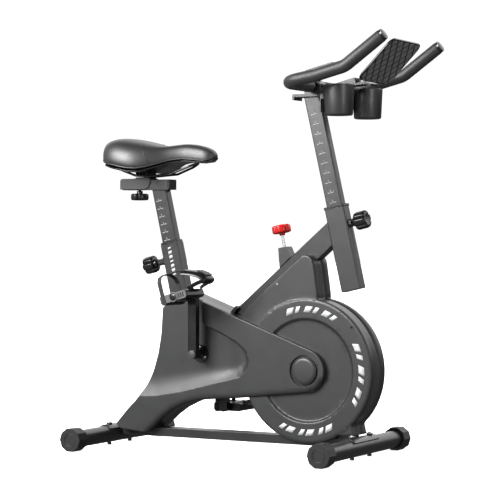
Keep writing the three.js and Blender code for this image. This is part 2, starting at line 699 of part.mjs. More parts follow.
const seatPostTop = along(SEAT_TUBE.high, up, SEAT_POST_TOP);
const seatPostLow = along(SEAT_TUBE.high, up, SEAT_POST_TOP - SEAT_POST_LENGTH);
const sliderBottom = 746;
const aboveSlider = block([-400, -60, sliderBottom + 1], [-100, 60, 900]);
const postReach = along(seatPostTop, up, 12);
const seatPost = cut(leaningTube(seatPostLow, postReach, POST.depth, POST.width, POST.wall, 4), aboveSlider);

const slider = { rear: -372, front: -216, halfWidth: 20, top: 776 };
const studSlot = block([-360, -5, 700], [-279, 5, 800]);
const sliderTube = cut(
  block([slider.rear, -slider.halfWidth, sliderBottom], [slider.front, slider.halfWidth, slider.top]),
  block(
    [slider.rear - 5, -slider.halfWidth + 2, sliderBottom + 2],
    [slider.front + 5, slider.halfWidth - 2, slider.top - 2],
  ),
  studSlot,
);
add(seat, "seat_post", join(seatPost, sliderTube), PAINT);
const sliderCap = join(
  block([slider.front + GAP, -slider.halfWidth, sliderBottom], [slider.front + 6, slider.halfWidth, slider.top]),
  block(
    [slider.front - 12, -slider.halfWidth + 2.5, sliderBottom + 2.5],
    [slider.front + 2, slider.halfWidth - 2.5, slider.top - 2.5],
  ),
);
add(seat, "slider_end_cap", sliderCap, BLACK_PLASTIC);

const carriageSide = [
  [-378, 748], [-378, 774], [-373, 779.5], [-275, 779.5], [-275, 765], [-281, 755], [-292, 748],
];
const CLAMP_X = -303;
const carriage = join(
  cut(
    sidePlate(carriageSide, -23.5, 23.5),
    block([-390, -slider.halfWidth - 0.4, 700], [-200, slider.halfWidth + 0.4, slider.top + 0.4]),
  ),
  turnedZ([[0, 779], [11, 779], [11, 782], [0, 782]], CLAMP_X, 0, 16),
);
add(seat, "saddle_carriage", carriage, SHELL);

const studX = -324;
const sliderKnob = join(
  lobedKnob(26, 716, 736, 6),
  turnedZ([[0, 730], [9, 730], [8, 744], [4.4, 744], [4.4, slider.top], [0, slider.top]], 0, 0, 16),
);
add(seat, "slider_knob", sliderKnob, BLACK_PLASTIC).position.set(studX, 0, 0);

// Saddle: plan outline and side outline crossed, over a thin base.
const saddlePlan = [
  [-64, 10], [-74, 22], [-110, 31], [-165, 41], [-210, 62], [-250, 92], [-285, 109], [-325, 114], [-360, 110],
  [-390, 93], [-406, 62], [-412, 25],
];
const planOutline = [...saddlePlan, ...saddlePlan.map(([x, y]) => [x, -y]).reverse()];
const saddleUnder = [
  [-64, 838], [-76, 829], [-113, 826], [-154, 830], [-195, 825], [-235, 811], [-265, 801], [-302, 801],
  [-350, 811], [-385, 820], [-412, 838],
];
const saddleTop = [
  [-412, 852], [-403, 880], [-382, 894], [-355, 898], [-301, 890], [-219, 873], [-190, 875], [-161, 878],
  [-130, 876], [-104, 870], [-74, 857], [-64, 847],
];
const cushion = planPlate(planOutline, 780, 920).intersect(sidePlate([...saddleUnder, ...saddleTop], -150, 150));
add(seat, "saddle_cushion", cushion, VINYL);
const lowered = (points, by) => points.map(([x, z]) => [x, z - by]);
const baseSection = [...lowered(saddleUnder, GAP), ...lowered(saddleUnder, 5).reverse()];
const base = planPlate(inset(planOutline, 5), 780, 920).intersect(sidePlate(baseSection, -150, 150));
add(seat, "saddle_base", base, BLACK_PLASTIC);

const railSide = [
  [-360, 40, 804], [-322, 25, 788], [-277, 22, 786], [-200, 20, 792], [-140, 15, 813], [-118, 0, 816],
];
const railPoints = [...railSide.slice(0, -1).map(([x, y, z]) => [x, -y, z]), ...railSide.slice().reverse()];
const saddleClamp = join(
  block([CLAMP_X - 17, -16.5, 785.4], [CLAMP_X + 17, 16.5, 796]),
  crossBar(4.5, -30, 30, CLAMP_X, 787.6, 12),
);
add(seat, "saddle_rails", join(rod(bentLine(railPoints, 22), 3.5, 6), saddleClamp), BLACK_STEEL);

// ---------------------------------------------------------------- pull pins for the two posts
// Local frame: +Z points out of the tube, along the pin.
function pullPin(prefix, base, distance, direction, knobFrom) {
  const group = new THREE.Group();
  const at = along(base, up, distance);
  group.position.set(at[0], 0, at[1]);
  group.rotation.y = direction > 0 ? Math.PI / 2 - LEAN : -Math.PI / 2 - LEAN;
  bike.add(group);
  const stem = [
    [0, 25], [3.4, 25.5], [4.2, 28], [4.2, knobFrom - 8], [12, knobFrom - 8], [14, knobFrom + 2], [0, knobFrom + 2],
  ];
  const knob = join(lobedKnob(25, knobFrom, knobFrom + KNOB_LENGTH, 6), turnedZ(stem, 0, 0, 16));
  add(group, `${prefix}_knob`, knob, BLACK_PLASTIC);
}
pullPin("seat_height", SEAT_TUBE.high, SEAT_PIN_AT, -1, SEAT_KNOB_AT);
pullPin("bar_height", HEAD.low, BAR_PIN_AT, 1, BAR_KNOB_AT);

// ---------------------------------------------------------------- handlebar assembly
const bars = new THREE.Group();
bike.add(bars);

const plateBottom = 999;
const barPostTop = along(HEAD.low, up, HEAD.length + BAR_POST_TOP);
const barPostLow = along(HEAD.low, up, HEAD.length + BAR_POST_TOP - BAR_POST_LENGTH);
const abovePost = block([100, -60, plateBottom + 1], [400, 60, 1200]);
const barPost = cut(
  leaningTube(barPostLow, along(barPostTop, up, 14), POST.depth, POST.width, POST.wall, 4),
  abovePost,
);

const BAR_X = 256;
const BAR_Z = 1027;
const stemPlate = join(
  block([194, -25, plateBottom], [300, 25, plateBottom + 8]),
  block([194, -25, plateBottom - 8], [200, 25, plateBottom + 1]),
  cut(
    block([232, -24, plateBottom + 7], [300, 24, BAR_Z - GAP]),
    crossBar(BAR.tubeR + 0.6, -40, 40, BAR_X, BAR_Z, 24),
  ),
);
add(bars, "handlebar_post", join(barPost, stemPlate), PAINT);
const stemCap = cut(
  sidePlate(
    [
      [234, BAR_Z + GAP], [234, BAR_Z + 8], [244, BAR_Z + 17],
      [268, BAR_Z + 17], [278, BAR_Z + 8], [278, BAR_Z + GAP],
    ],
    -22, 22,
  ),
  crossBar(BAR.tubeR + 0.6, -40, 40, BAR_X, BAR_Z, 24),
);
add(bars, "stem_clamp_cap", stemCap, BLACK_PLASTIC);

const barTip = [547, 1140];
const barSide = [[BAR_X, 1027], [351, 1042], [437, 1063], barTip];
const half = BAR.halfSpan;
const barPoints = [
  ...barSide.slice().reverse().map(([x, z]) => [x, -half, z]),
  ...barSide.map(([x, z]) => [x, half, z]),
];
const BEND = 62;

function barEndPlug(sign) {
  const [, , bend, tip] = barSide;
  const geometry = new THREE.CylinderGeometry(16, 16.5, 6, 20);
  geometry.translate(0, 2 + GAP, 0);
  geometry.rotateZ(-Math.PI / 2);
  geometry.rotateY(-Math.atan2(tip[1] - bend[1], tip[0] - bend[0]));
  geometry.translate(tip[0], sign * half, tip[1]);
  return solid(geometry);
}
const barRod = rod(bentLine(barPoints, BEND), BAR.tubeR, 12);
add(bars, "handlebar_tube", join(barRod, barEndPlug(-1), barEndPlug(1)), STEEL);

function foamGrip(side, sign) {
  const corners = [[BAR_X, sign * BAR.foamStart, BAR_Z], ...barSide.map(([x, z]) => [x, sign * half, z])];
  const line = bentLine(corners, BEND);
  const end = line[line.length - 1];
  const heading = end.clone().sub(line[line.length - 2]).normalize();
  const from = [line[0].clone().add(new THREE.Vector3(0, -sign * 5, 0)), ...line.slice(1)];
  const inner = [...from.slice(0, -1), end.clone().addScaledVector(heading, 5)];
  const outer = [...line.slice(0, -1), end.clone().addScaledVector(heading, -2)];
  add(bars, `foam_grip_${side}`, cut(rod(outer, BAR.foamR, 12), rod(inner, BAR.foamBore, 10)), FOAM);
}
foamGrip("right", -1);
foamGrip("left", 1);

// Steel carrier for the cups and the tablet tray.
const carrier = join(
  block([300 + GAP, -20, 1004], [318, 20, 1024]),
  block([316, -96, 950], [320, 96, 1024]),
  block([319, CUP.y - 9, 985], [329.4, CUP.y + 9, 1015]),
  block([319, -CUP.y - 9, 985], [329.4, -CUP.y + 9, 1015]),
  sidePlate(
    [
      [302, 1018], [302, 1027], [384, 1047], [388, 1031.5],
      [419, 1034.5], [433.8, 1028.5], [432, 1023], [417, 1027],
    ],
    -20, 20,
  ),
);
add(bars, "accessory_carrier", carrier, BLACK_STEEL);

for (const [side, sign] of [["right", -1], ["left", 1]]) {
  const { low, high, r, foot, wall } = CUP;
  const profile = [
    [0, low], [foot - 3, low], [foot, low + 3], [r, high], [r - wall, high], [foot - wall - 1, low + 5], [0, low + 5],
  ];
  add(bars, `cup_holder_${side}`, turnedZ(profile, CUP.x, sign * CUP.y, 24), BLACK_PLASTIC);
}

// Tablet tray: a rounded pad leaning towards the rider, with a ledge along its lower edge.
const tray = new THREE.Group();
tray.position.set(TRAY.low[0], 0, TRAY.low[1]);
tray.rotation.y = -TRAY.tilt;
bars.add(tray);
const TRAY_CORNER = 24;
const [trayLength, trayHalf] = [TRAY.length, TRAY.halfWidth];
const trayOutline = [
  ...arc(trayLength - TRAY_CORNER, trayHalf - TRAY_CORNER, TRAY_CORNER, 0, 90, 5),
  ...arc(TRAY_CORNER, trayHalf - TRAY_CORNER, TRAY_CORNER, 90, 180, 5),
  ...arc(TRAY_CORNER, TRAY_CORNER - trayHalf, TRAY_CORNER, 180, 270, 5),
  ...arc(trayLength - TRAY_CORNER, TRAY_CORNER - trayHalf, TRAY_CORNER, 270, 360, 5),
];
const ledge = block([6, -62, TRAY.thickness - 1], [12, 62, TRAY.thickness + 16]);
add(tray, "tablet_tray", join(planPlate(trayOutline, GAP, TRAY.thickness), ledge), RUBBER);

// Console on a stalk over the crossing of the bar, with one mode button.
const CONSOLE = { x: 280, z: 1077, tilt: 13 * RAD, buttonX: -32 };
const consoleGeometry = new THREE.ExtrudeGeometry(
  new THREE.Shape(chamfered(94, 66, 8).map(([a, b]) => new THREE.Vector2(a, b))),
  { depth: 8, bevelEnabled: false },
);
consoleGeometry.translate(0, 0, -4);
const buttonWell = new THREE.CylinderGeometry(6.6, 6.6, 10, 16);
buttonWell.rotateX(Math.PI / 2);
buttonWell.translate(CONSOLE.buttonX, 0, 6.4);
for (const geometry of [consoleGeometry, buttonWell]) {
  geometry.rotateY(-CONSOLE.tilt);
  geometry.translate(CONSOLE.x, 0, CONSOLE.z);
}
const stalk = sidePlate([[250, BAR_Z + 17 + GAP], [270, BAR_Z + 17 + GAP], [276, 1074], [256, 1069.5]], -9, 9);
add(bars, "console", join(cut(solid(consoleGeometry), solid(buttonWell)), stalk), BLACK_PLASTIC);

const consoleFrame = new THREE.Group();
consoleFrame.position.set(CONSOLE.x, 0, CONSOLE.z);
consoleFrame.rotation.y = -CONSOLE.tilt;
bars.add(consoleFrame);
const buttonProfile = [[0, 2.8], [6, 2.8], [6, 5.4], [5, 6], [0, 6]];
add(consoleFrame, "console_button", turnedZ(buttonProfile, CONSOLE.buttonX, 0, 16), RED);

// ---------------------------------------------------------------- brake
const brake = new THREE.Group();
bike.add(brake);
const shoeTop = 159;
add(brake, "resistance_rod", brakeBar(4, -44, 158), STEEL);

// A block square to the brake's axis, between two distances down it.
function brakeBlock(halfLength, halfWidth, from, to) {
  const geometry = new THREE.BoxGeometry(2 * halfLength, 2 * halfWidth, to - from);
  geometry.rotateY(-BRAKE.tilt);
  const middle = brakePoint((from + to) / 2);
  geometry.translate(middle[0], 0, middle[1]);
  return solid(geometry);
}
const shoe = cut(
  join(brakeBlock(25, 16, shoeTop, shoeTop + 5), brakeBar(9.5, 144.5, shoeTop + 1, 12)),
  brakeBar(4.6, 130, 180),
);
add(brake, "brake_shoe", shoe, BLACK_STEEL);
const pad = cut(
  brakeBlock(24, 15, shoeTop + 5 + GAP, 190),
  crossBar(FLYWHEEL.r + BRAKE.gap, -40, 40, AXLE.x, AXLE.z, 96),
);
add(brake, "brake_pad", pad, FELT);

const redKnob = new THREE.Group();
redKnob.position.set(BRAKE.top[0], 0, BRAKE.top[1]);
redKnob.rotation.y = -BRAKE.tilt;
brake.add(redKnob);
const knobBody = cut(
  join(lobedKnob(26.5, 40, 63, 5), turnedZ([[0, 33], [7, 33], [9, 42], [0, 42]], 0, 0, 16)),
  turnedZ([[0, 30], [4.4, 30], [4.4, 45], [0, 45]], 0, 0, 16),
);
add(redKnob, "resistance_knob", knobBody, RED);

// ---------------------------------------------------------------- origin under the middle of the whole bike
const box = new THREE.Box3().setFromObject(bike);
bike.position.set(-(box.min.x + box.max.x) / 2, -(box.min.y + box.max.y) / 2, -box.min.z);
const part = new THREE.Group();
part.add(bike);

export default part;
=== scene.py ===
"""Indoor cycling bike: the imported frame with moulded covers, padded saddle, foam grips and fine detail.

Lengths are in bike millimetres (x forward, y left, z up, origin midway between the two feet) until at() turns
them into the frame's metres.
"""

import json
import math

import bmesh
import bpy
import numpy as np
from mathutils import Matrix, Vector
from mathutils.geometry import delaunay_2d_cdt


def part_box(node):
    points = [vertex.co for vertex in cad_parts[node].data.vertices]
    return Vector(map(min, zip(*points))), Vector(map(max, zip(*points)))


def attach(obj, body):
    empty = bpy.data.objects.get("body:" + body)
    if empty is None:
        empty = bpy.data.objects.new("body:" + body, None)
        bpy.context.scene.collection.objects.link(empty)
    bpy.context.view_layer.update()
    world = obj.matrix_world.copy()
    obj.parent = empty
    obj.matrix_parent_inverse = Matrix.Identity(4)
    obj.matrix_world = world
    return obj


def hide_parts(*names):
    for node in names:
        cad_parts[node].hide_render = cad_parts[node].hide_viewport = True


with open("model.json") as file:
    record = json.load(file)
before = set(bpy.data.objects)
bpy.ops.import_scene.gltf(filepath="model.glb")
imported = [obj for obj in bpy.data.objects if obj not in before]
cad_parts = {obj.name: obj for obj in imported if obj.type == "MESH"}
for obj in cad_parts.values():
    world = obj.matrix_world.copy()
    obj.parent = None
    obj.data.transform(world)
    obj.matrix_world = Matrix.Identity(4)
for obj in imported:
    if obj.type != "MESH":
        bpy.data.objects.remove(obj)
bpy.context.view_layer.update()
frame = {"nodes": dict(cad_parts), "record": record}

MM = 0.001
FOOT_X = 395
foot_low, foot_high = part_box("front_stabiliser")
SHIFT = (foot_low.x + foot_high.x) / 2 - FOOT_X * MM
LEAN = math.radians(13)
UP = Vector((-math.sin(LEAN), 0, math.cos(LEAN)))
OUT = Vector((math.cos(LEAN), 0, math.sin(LEAN)))
ACROSS = Vector((0, 1, 0))
AXLE = Vector((248, 0, 239))
BRACKET = Vector((-88, 0, 277))
SIDES = (("right", -1), ("left", 1))


def at(x, y, z):
    """A point given in bike millimetres, in the frame's metres."""
    return Vector((x * MM + SHIFT, y * MM, z * MM))


# ---------------------------------------------------------------- materials
def bumped(material, texture, scale, output, strength, distance):
    """Presses a fine procedural texture into a finish and returns the texture's node."""
    nodes, links = material.node_tree.nodes, material.node_tree.links
    pattern = nodes.new(texture)
    pattern.inputs["Scale"].default_value = scale
    links.new(nodes["Texture Coordinate"].outputs["Object"], pattern.inputs["Vector"])
    bump = nodes.new("ShaderNodeBump")
    bump.inputs["Strength"].default_value = strength
    bump.inputs["Distance"].default_value = distance
    links.new(pattern.outputs[output], bump.inputs["Height"])
    links.new(bump.outputs["Normal"], nodes["Principled BSDF"].inputs["Normal"])
    return pattern


def surface(name, color, rough, metal=0.0, grain=(0.0, 1.0), spread=0.08, sheen=0.0, gloss=0.15):
    """A procedural finish: grain is (bump strength, noise scale), spread is how far the colour varies."""
    material = bpy.data.materials.new(name)
    material.use_nodes = True
    nodes, links = material.node_tree.nodes, material.node_tree.links
    shader = nodes["Principled BSDF"]
    shader.inputs["Metallic"].default_value = metal
    shader.inputs["Specular IOR Level"].default_value = gloss
    shader.inputs["Sheen Weight"].default_value = sheen
    place = nodes.new("ShaderNodeTexCoord")
    cloud = nodes.new("ShaderNodeTexNoise")
    cloud.inputs["Scale"].default_value = 22
    cloud.inputs["Detail"].default_value = 5
    links.new(place.outputs["Object"], cloud.inputs["Vector"])
    tint = nodes.new("ShaderNodeValToRGB")
    for stop, position, factor in zip(tint.color_ramp.elements, (0.35, 0.65), (1 - spread, 1 + spread)):
        stop.color = (*[min(c * factor, 1) for c in color], 1)
        stop.position = position
    links.new(cloud.outputs["Fac"], tint.inputs["Fac"])
    links.new(tint.outputs["Color"], shader.inputs["Base Color"])
    uneven = nodes.new("ShaderNodeMapRange")
    uneven.inputs["To Min"].default_value = max(rough - 0.05, 0.02)
    uneven.inputs["To Max"].default_value = min(rough + 0.05, 1)
    links.new(cloud.outputs["Fac"], uneven.inputs["Value"])
    links.new(uneven.outputs["Result"], shader.inputs["Roughness"])
    strength, scale = grain
    if strength:
        fine = bumped(material, "ShaderNodeTexNoise", scale, "Fac", strength, 0.0004)
        fine.inputs["Detail"].default_value = 3
    return material


def gray(value):
    """A near-black with the faint blue of moulded plastic and paint."""
    return (value, value * 1.01, value * 1.03)


FINISH = {
    "frame_paint": surface("frame_paint", gray(0.015), 0.3, grain=(0.25, 900), gloss=0.45),
    "shell_plastic": surface("shell_plastic", gray(0.019), 0.38, grain=(0.12, 1400), spread=0.05, gloss=0.4),
    "black_plastic": surface("black_plastic", gray(0.004), 0.28, grain=(0.2, 1100), gloss=0.4),
    "cup_plastic": surface("cup_plastic", gray(0.008), 0.38, grain=(0.03, 500), gloss=0.9),
    "cap_rubber": surface("cap_rubber", gray(0.012), 0.45, grain=(0.4, 1200), gloss=0.3),
    "foam": surface("foam", gray(0.010), 0.5, grain=(0.5, 1500), sheen=0.05, gloss=0.5),
    "vinyl": surface("vinyl", gray(0.012), 0.46, spread=0.1, gloss=0.8),
    "zinc_steel": surface("zinc_steel", gray(0.62), 0.28, metal=1.0, grain=(0.03, 800)),
    "black_steel": surface("black_steel", gray(0.004), 0.22, grain=(0.15, 900), gloss=0.5),
    "iron": surface("iron", gray(0.2), 0.4, metal=0.9, grain=(0.5, 500)),
    "belt_rubber": surface("belt_rubber", gray(0.008), 0.7, grain=(0.6, 900)),
    "felt": surface("felt", (0.32, 0.28, 0.21), 0.95, grain=(1.0, 1300), sheen=0.3),
    "red_plastic": surface("red_plastic", (0.36, 0.006, 0.004), 0.28, grain=(0.05, 700), gloss=0.4),
    "print_white": surface("print_white", gray(0.42), 0.5, grain=(0.05, 800), spread=0.02),
    "satin_grey": surface("satin_grey", gray(0.04), 0.38, grain=(0.15, 900), gloss=0.3),
    "pad_rubber": surface("pad_rubber", gray(0.11), 0.5, grain=(0.4, 1200), gloss=0.9),
    # Grey laid on the pedal's black plastic end plate and cap ring: a painted highlight.
    "pedal_painted_highlight": surface("pedal_painted_highlight", gray(0.085), 0.42, grain=(0.2, 1000), gloss=0.3),
}
bumped(FINISH["vinyl"], "ShaderNodeTexVoronoi", 900, "Distance", 0.18, 0.0003)  # pebbled cells
SLOT_OF = {row["node"]: row["material_slot"] for row in frame["record"]["subparts"]}
BODY_OF = {n: body for body, nodes in frame["record"]["behaviour"]["bodies"].items() for n in nodes}


# ---------------------------------------------------------------- making pieces
def dress(piece, body, finish, *nodes, slot=None):
    """Gives a piece its finish and its body, and hides the CAD nodes it stands for."""
    piece.data.materials.clear()
    piece.data.materials.append(FINISH[finish])
    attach(piece, body)
    slot or finish
    if nodes:
        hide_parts(*nodes)
    return piece


def smooth(piece, angle):
    """Smooth shading, with edges steeper than the angle kept sharp."""
    mesh = piece.data
    mesh.polygons.foreach_set("use_smooth", [True] * len(mesh.polygons))
    mesh.set_sharp_from_angle(angle=math.radians(angle))


def piece_of(name, points, faces, angle=38):
    """A mesh object from points in bike millimetres."""
    mesh = bpy.data.meshes.new(name)
    mesh.from_pydata([at(*p) for p in points], [], faces)
    made = bmesh.new()
    made.from_mesh(mesh)
    bmesh.ops.remove_doubles(made, verts=made.verts, dist=1e-6)
    bmesh.ops.recalc_face_normals(made, faces=made.faces)
    made.to_mesh(mesh)
    made.free()
    piece = bpy.data.objects.new(name, mesh)
    bpy.context.collection.objects.link(piece)
    smooth(piece, angle)
    return piece


def bevel(piece, width, segments=3):
    """Rounds the sharp edges of a piece."""
    modifier = piece.modifiers.new("rounding", "BEVEL")
    modifier.width = width * MM
    modifier.segments = segments
    modifier.limit_method = "ANGLE"
    modifier.angle_limit = math.radians(35)
    modifier.harden_normals = True
    return piece


def subdivide(piece):
    """Turns a piece's mesh into the cage of a smooth surface."""
    modifier = piece.modifiers.new("smoothing", "SUBSURF")
    modifier.levels = modifier.render_levels = 2
    return piece


def restyle(node, width, finish=None):
    """A CAD node's own shape with merged flats and rounded edges."""
    name = node + "_shaped"
    mesh = frame["nodes"][node].data.copy()
    mesh.name = name
    made = bmesh.new()
    made.from_mesh(mesh)
    bmesh.ops.remove_doubles(made, verts=made.verts, dist=2e-5)
    bmesh.ops.dissolve_limit(
        made, angle_limit=math.radians(1.5), verts=made.verts, edges=made.edges, use_dissolve_boundaries=False
    )
    made.to_mesh(mesh)
    made.free()
    piece = bpy.data.objects.new(name, mesh)
    bpy.context.collection.objects.link(piece)
    smooth(piece, 30)
    if width:
        bevel(piece, width, 2)
    return dress(piece, BODY_OF[node], finish or SLOT_OF[node], node, slot=SLOT_OF[node])


def ring_faces(rings, sides):
    """Quads between equal rings of points, with a cap at both ends."""
    faces = []
    for i in range(rings - 1):
        for j in range(sides):
            a, b = i * sides + j, i * sides + (j + 1) % sides
            faces.append((a, b, b + sides, a + sides))
    faces.append(tuple(range(sides - 1, -1, -1)))
    faces.append(tuple(range((rings - 1) * sides, rings * sides)))
    return faces


def circle_frame(axis):
    """Unit vectors along an axis and across it."""
    axis = Vector(axis).normalized()
    side = axis.orthogonal().normalized()
    return axis, side, axis.cross(side)


def turned(name, profile, centre, axis, sides=48, angle=38):
    """A turned piece: profile is [radius, height] pairs along the axis from the centre."""
    axis, side, rise = circle_frame(axis)
    centre = Vector(centre)
    points = []
    for radius, height in profile:
        for j in range(sides):
            turn = 2 * math.pi * j / sides
            points.append(centre + axis * height + radius * (side * math.cos(turn) + rise * math.sin(turn)))
    return piece_of(name, points, ring_faces(len(profile), sides), angle)


def bent(points, radius, steps=8):
    """A line through space with each corner rounded."""
    points = [Vector(p) for p in points]
    line = [points[0]]
    for before, corner, after in zip(points, points[1:], points[2:]):
        turning = (corner - before).angle(after - corner)
        room = 0.49 * min((before - corner).length, (after - corner).length)
        reach = min(radius * math.tan(turning / 2), room)
        enter = corner + (before - corner).normalized() * reach
        leave = corner + (after - corner).normalized() * reach
        for i in range(steps + 1):
            t = i / steps
            line.append(enter * (1 - t) ** 2 + corner * 2 * t * (1 - t) + leave * t * t)
    line.append(points[-1])
    return line


def swept(name, line, radii, sides=24):
    """A round tube along a line; radii is one radius, or one for each point."""
    if not hasattr(radii, "__len__"):
        radii = [radii] * len(line)
    points = []
    for i, centre in enumerate(line):
        heading = (line[min(i + 1, len(line) - 1)] - line[max(i - 1, 0)]).normalized()
        side = heading.cross(Vector((0, 0, 1))).normalized()
        rise = side.cross(heading)
        for j in range(sides):
            turn = 2 * math.pi * j / sides
            points.append(centre + radii[i] * (side * math.cos(turn) + rise * math.sin(turn)))
    return piece_of(name, points, ring_faces(len(line), sides))


def slab(name, outline, place, thickness):
    """An outline with straight sides; place maps (a, b, depth) to bike millimetres."""
    count = len(outline)
    points = [place(a, b, 0) for a, b in outline] + [place(a, b, thickness) for a, b in outline]
    faces = [tuple(range(count)), tuple(range(2 * count - 1, count - 1, -1))]
    faces += [(i, (i + 1) % count, count + (i + 1) % count, count + i) for i in range(count)]
    return piece_of(name, points, faces)


def crosswise(low_y):
    """Placing for a slab whose outline is in x and z and which runs across the bike from low_y."""
    return lambda a, b, d: Vector((a, d + low_y, b))


def arc(x, z, radius, start, stop, steps):
    """Points round a centre from one angle in degrees to another."""
    turns = [math.radians(start + (stop - start) * i / steps) for i in range(steps + 1)]
    return [(x + radius * math.cos(turn), z + radius * math.sin(turn)) for turn in turns]


def thicken(piece, thickness, offset=-1):
    """Gives an open sheet its thickness in millimetres."""
    modifier = piece.modifiers.new("thickness", "SOLIDIFY")
    modifier.thickness = thickness * MM
    modifier.offset = offset
    return piece


def joined(name, pieces):
    """Several pieces as one object, under a new name."""
    for other in bpy.context.selected_objects:
        other.select_set(False)
    for piece in pieces:
        piece.select_set(True)
    bpy.context.view_layer.objects.active = pieces[0]
    with bpy.context.temp_override(selected_editable_objects=pieces, active_object=pieces[0]):
        bpy.ops.object.join()
    pieces[0].name = pieces[0].data.name = name
    return pieces[0]


# ---------------------------------------------------------------- panels with relief
def resampled(outline, step):
    """A closed outline with a point about every step."""
    points = []
    for (x0, z0), (x1, z1) in zip(outline, outline[1:] + outline[:1]):
        count = max(1, round(math.hypot(x1 - x0, z1 - z0) / step))
        points += [(x0 + (x1 - x0) * i / count, z0 + (z1 - z0) * i / count) for i in range(count)]
    return points


def softened(outline, rounds, keep_step=4):
    """A closed outline resampled and averaged, which rounds its corners."""
    points = np.array(resampled(outline, keep_step))
    for _ in range(rounds):
        points = (np.roll(points, 1, 0) + 2 * points + np.roll(points, -1, 0)) / 4
    return [tuple(p) for p in points]


def inside_distance(points, outline):
    """Distance of each point from a closed outline, positive inside it."""
    points = np.asarray(points, float)
    a = np.asarray(outline, float)
    b = np.roll(a, -1, 0)
    along = b - a
    length2 = np.maximum((along ** 2).sum(1), 1e-9)
    distance = np.full(len(points), 1e9)
    inside = np.zeros(len(points), bool)
    for i in range(len(a)):
        offset = points - a[i]
        t = np.clip((offset @ along[i]) / length2[i], 0, 1)
        distance = np.minimum(distance, np.hypot(*(offset - t[:, None] * along[i]).T))
        crosses = (a[i, 1] > points[:, 1]) != (b[i, 1] > points[:, 1])
        if abs(along[i, 1]) > 1e-12:
            at_x = a[i, 0] + (points[:, 1] - a[i, 1]) / along[i, 1] * along[i, 0]
            inside ^= crosses & (points[:, 0] < at_x)
    return np.where(inside, distance, -distance)


def offset_ring(outline, distance):
    """Points at a distance inside an outline, leaving out those that fall too near another stretch of it."""
    points = np.array(outline)
    ahead = np.roll(points, -1, 0) - np.roll(points, 1, 0)
    area = np.sum(points[:, 0] * np.roll(points[:, 1], -1) - np.roll(points[:, 0], -1) * points[:, 1])
    inward = np.stack([-ahead[:, 1], ahead[:, 0]], 1) * (1 if area > 0 else -1)
    inward /= np.maximum(np.hypot(*inward.T), 1e-9)[:, None]
    moved = points + inward * distance
    return moved[inside_distance(moved, outline) > distance - 0.05]


def scattered(outline, extra, grid):
    """Points inside an outline: a staggered grid, rings along the edge, and the extra ones given."""
    low, high = np.min(outline, 0), np.max(outline, 0)
    xs = np.arange(low[0] + grid / 2, high[0], grid)
    zs = np.arange(low[1] + grid / 2, high[1], grid)
    cloud = np.array([(x + (grid / 2 if row % 2 else 0), z) for row, z in enumerate(zs) for x in xs])
    cloud = cloud[inside_distance(cloud, outline) > 11]
    along_edge = [offset_ring(outline, d) for d in (0.6, 1.5, 3, 5, 7.5, 10)]
    spots = np.concatenate([s for s in [cloud, *along_edge, *map(np.array, extra)] if len(s)])
    return spots[inside_distance(spots, outline) > 0.3]


def relief(name, outline, depth_at, face_y, back_y, extra=(), hole=None, grid=9, back_at=None):
    """A moulded half shell: a face with relief inside an outline, and a side wall back to back_y.

    depth_at takes points and their distance inside the outline, and gives how far the face lies below face_y.
    back_at takes x and z and gives the side wall's far edge there, where that is not back_y all round.
    hole is the x, z and radius of a round opening.
    """
    toward = 1 if back_y > face_y else -1
    inner = scattered(outline, extra, grid)
    edges, hole_ring = [], []
    if hole:
        hx, hz, radius = hole
        inner = inner[np.hypot(inner[:, 0] - hx, inner[:, 1] - hz) > radius + 0.8]
        hole_ring = arc(hx, hz, radius, 0, 360 * 23 / 24, 23)
        edges = [(len(outline) + i, len(outline) + (i + 1) % 24) for i in range(24)]
    flat = [Vector(p) for p in list(outline) + hole_ring + [tuple(p) for p in inner]]
    boundary = list(range(len(outline)))
    verts, _, faces, _, _, _ = delaunay_2d_cdt(flat, edges, [boundary], 1, 0.02)
    spots = np.array([(v.x, v.y) for v in verts])
    depth = depth_at(spots, np.maximum(inside_distance(spots, outline), 0))
    points = [(x, face_y + toward * d, z) for (x, z), d in zip(spots, depth)]
    kept = []
    for face in faces:
        x, z = spots[list(face)].mean(0)
        if not hole or math.hypot(x - hx, z - hz) > radius:
            kept.append(tuple(face))
    rim = [int(np.argmin(np.hypot(*(spots - np.array(p)).T))) for p in outline]
    base, count = len(points), len(rim)
    points += [(x, back_at(x, z) if back_at else back_y, z) for x, _, z in [points[i] for i in rim]]
    kept += [(rim[i], rim[(i + 1) % count], base + (i + 1) % count, base + i) for i in range(count)]
    return thicken(piece_of(name, points, kept, angle=55), 2.4)


def ease(t):
    """A smooth step from 0 to 1."""
    t = np.clip(t, 0, 1)
    return t * t * (3 - 2 * t)


def edge_round(distance, radius):
    """Drop of a face towards its rounded outer edge."""
    near = np.clip(radius - distance, 0, radius)
    return radius - np.sqrt(np.maximum(radius ** 2 - near ** 2, 0))


def near_line(spots, line):
    """For each spot the smallest value of distance over the local width of a line of (x, z, width)."""
    best = np.full(len(spots), 1e9)
    for (x0, z0, w0), (x1, z1, w1) in zip(line, line[1:]):
        count = max(2, int(math.hypot(x1 - x0, z1 - z0) / 2.5))
        for t in np.linspace(0, 1, count):
            x, z, width = x0 + (x1 - x0) * t, z0 + (z1 - z0) * t, w0 + (w1 - w0) * t
            best = np.minimum(best, np.hypot(spots[:, 0] - x, spots[:, 1] - z) / width)
    return best


def open_distance(spots, line):
    """Distance of each spot from an open line."""
    best = np.full(len(spots), 1e9)
    for (x0, z0), (x1, z1) in zip(line, line[1:]):
        along = np.array([x1 - x0, z1 - z0], float)
        offset = spots - np.array([x0, z0])
        t = np.clip(offset @ along / (along @ along), 0, 1)
        best = np.minimum(best, np.hypot(*(offset - t[:, None] * along).T))
    return best


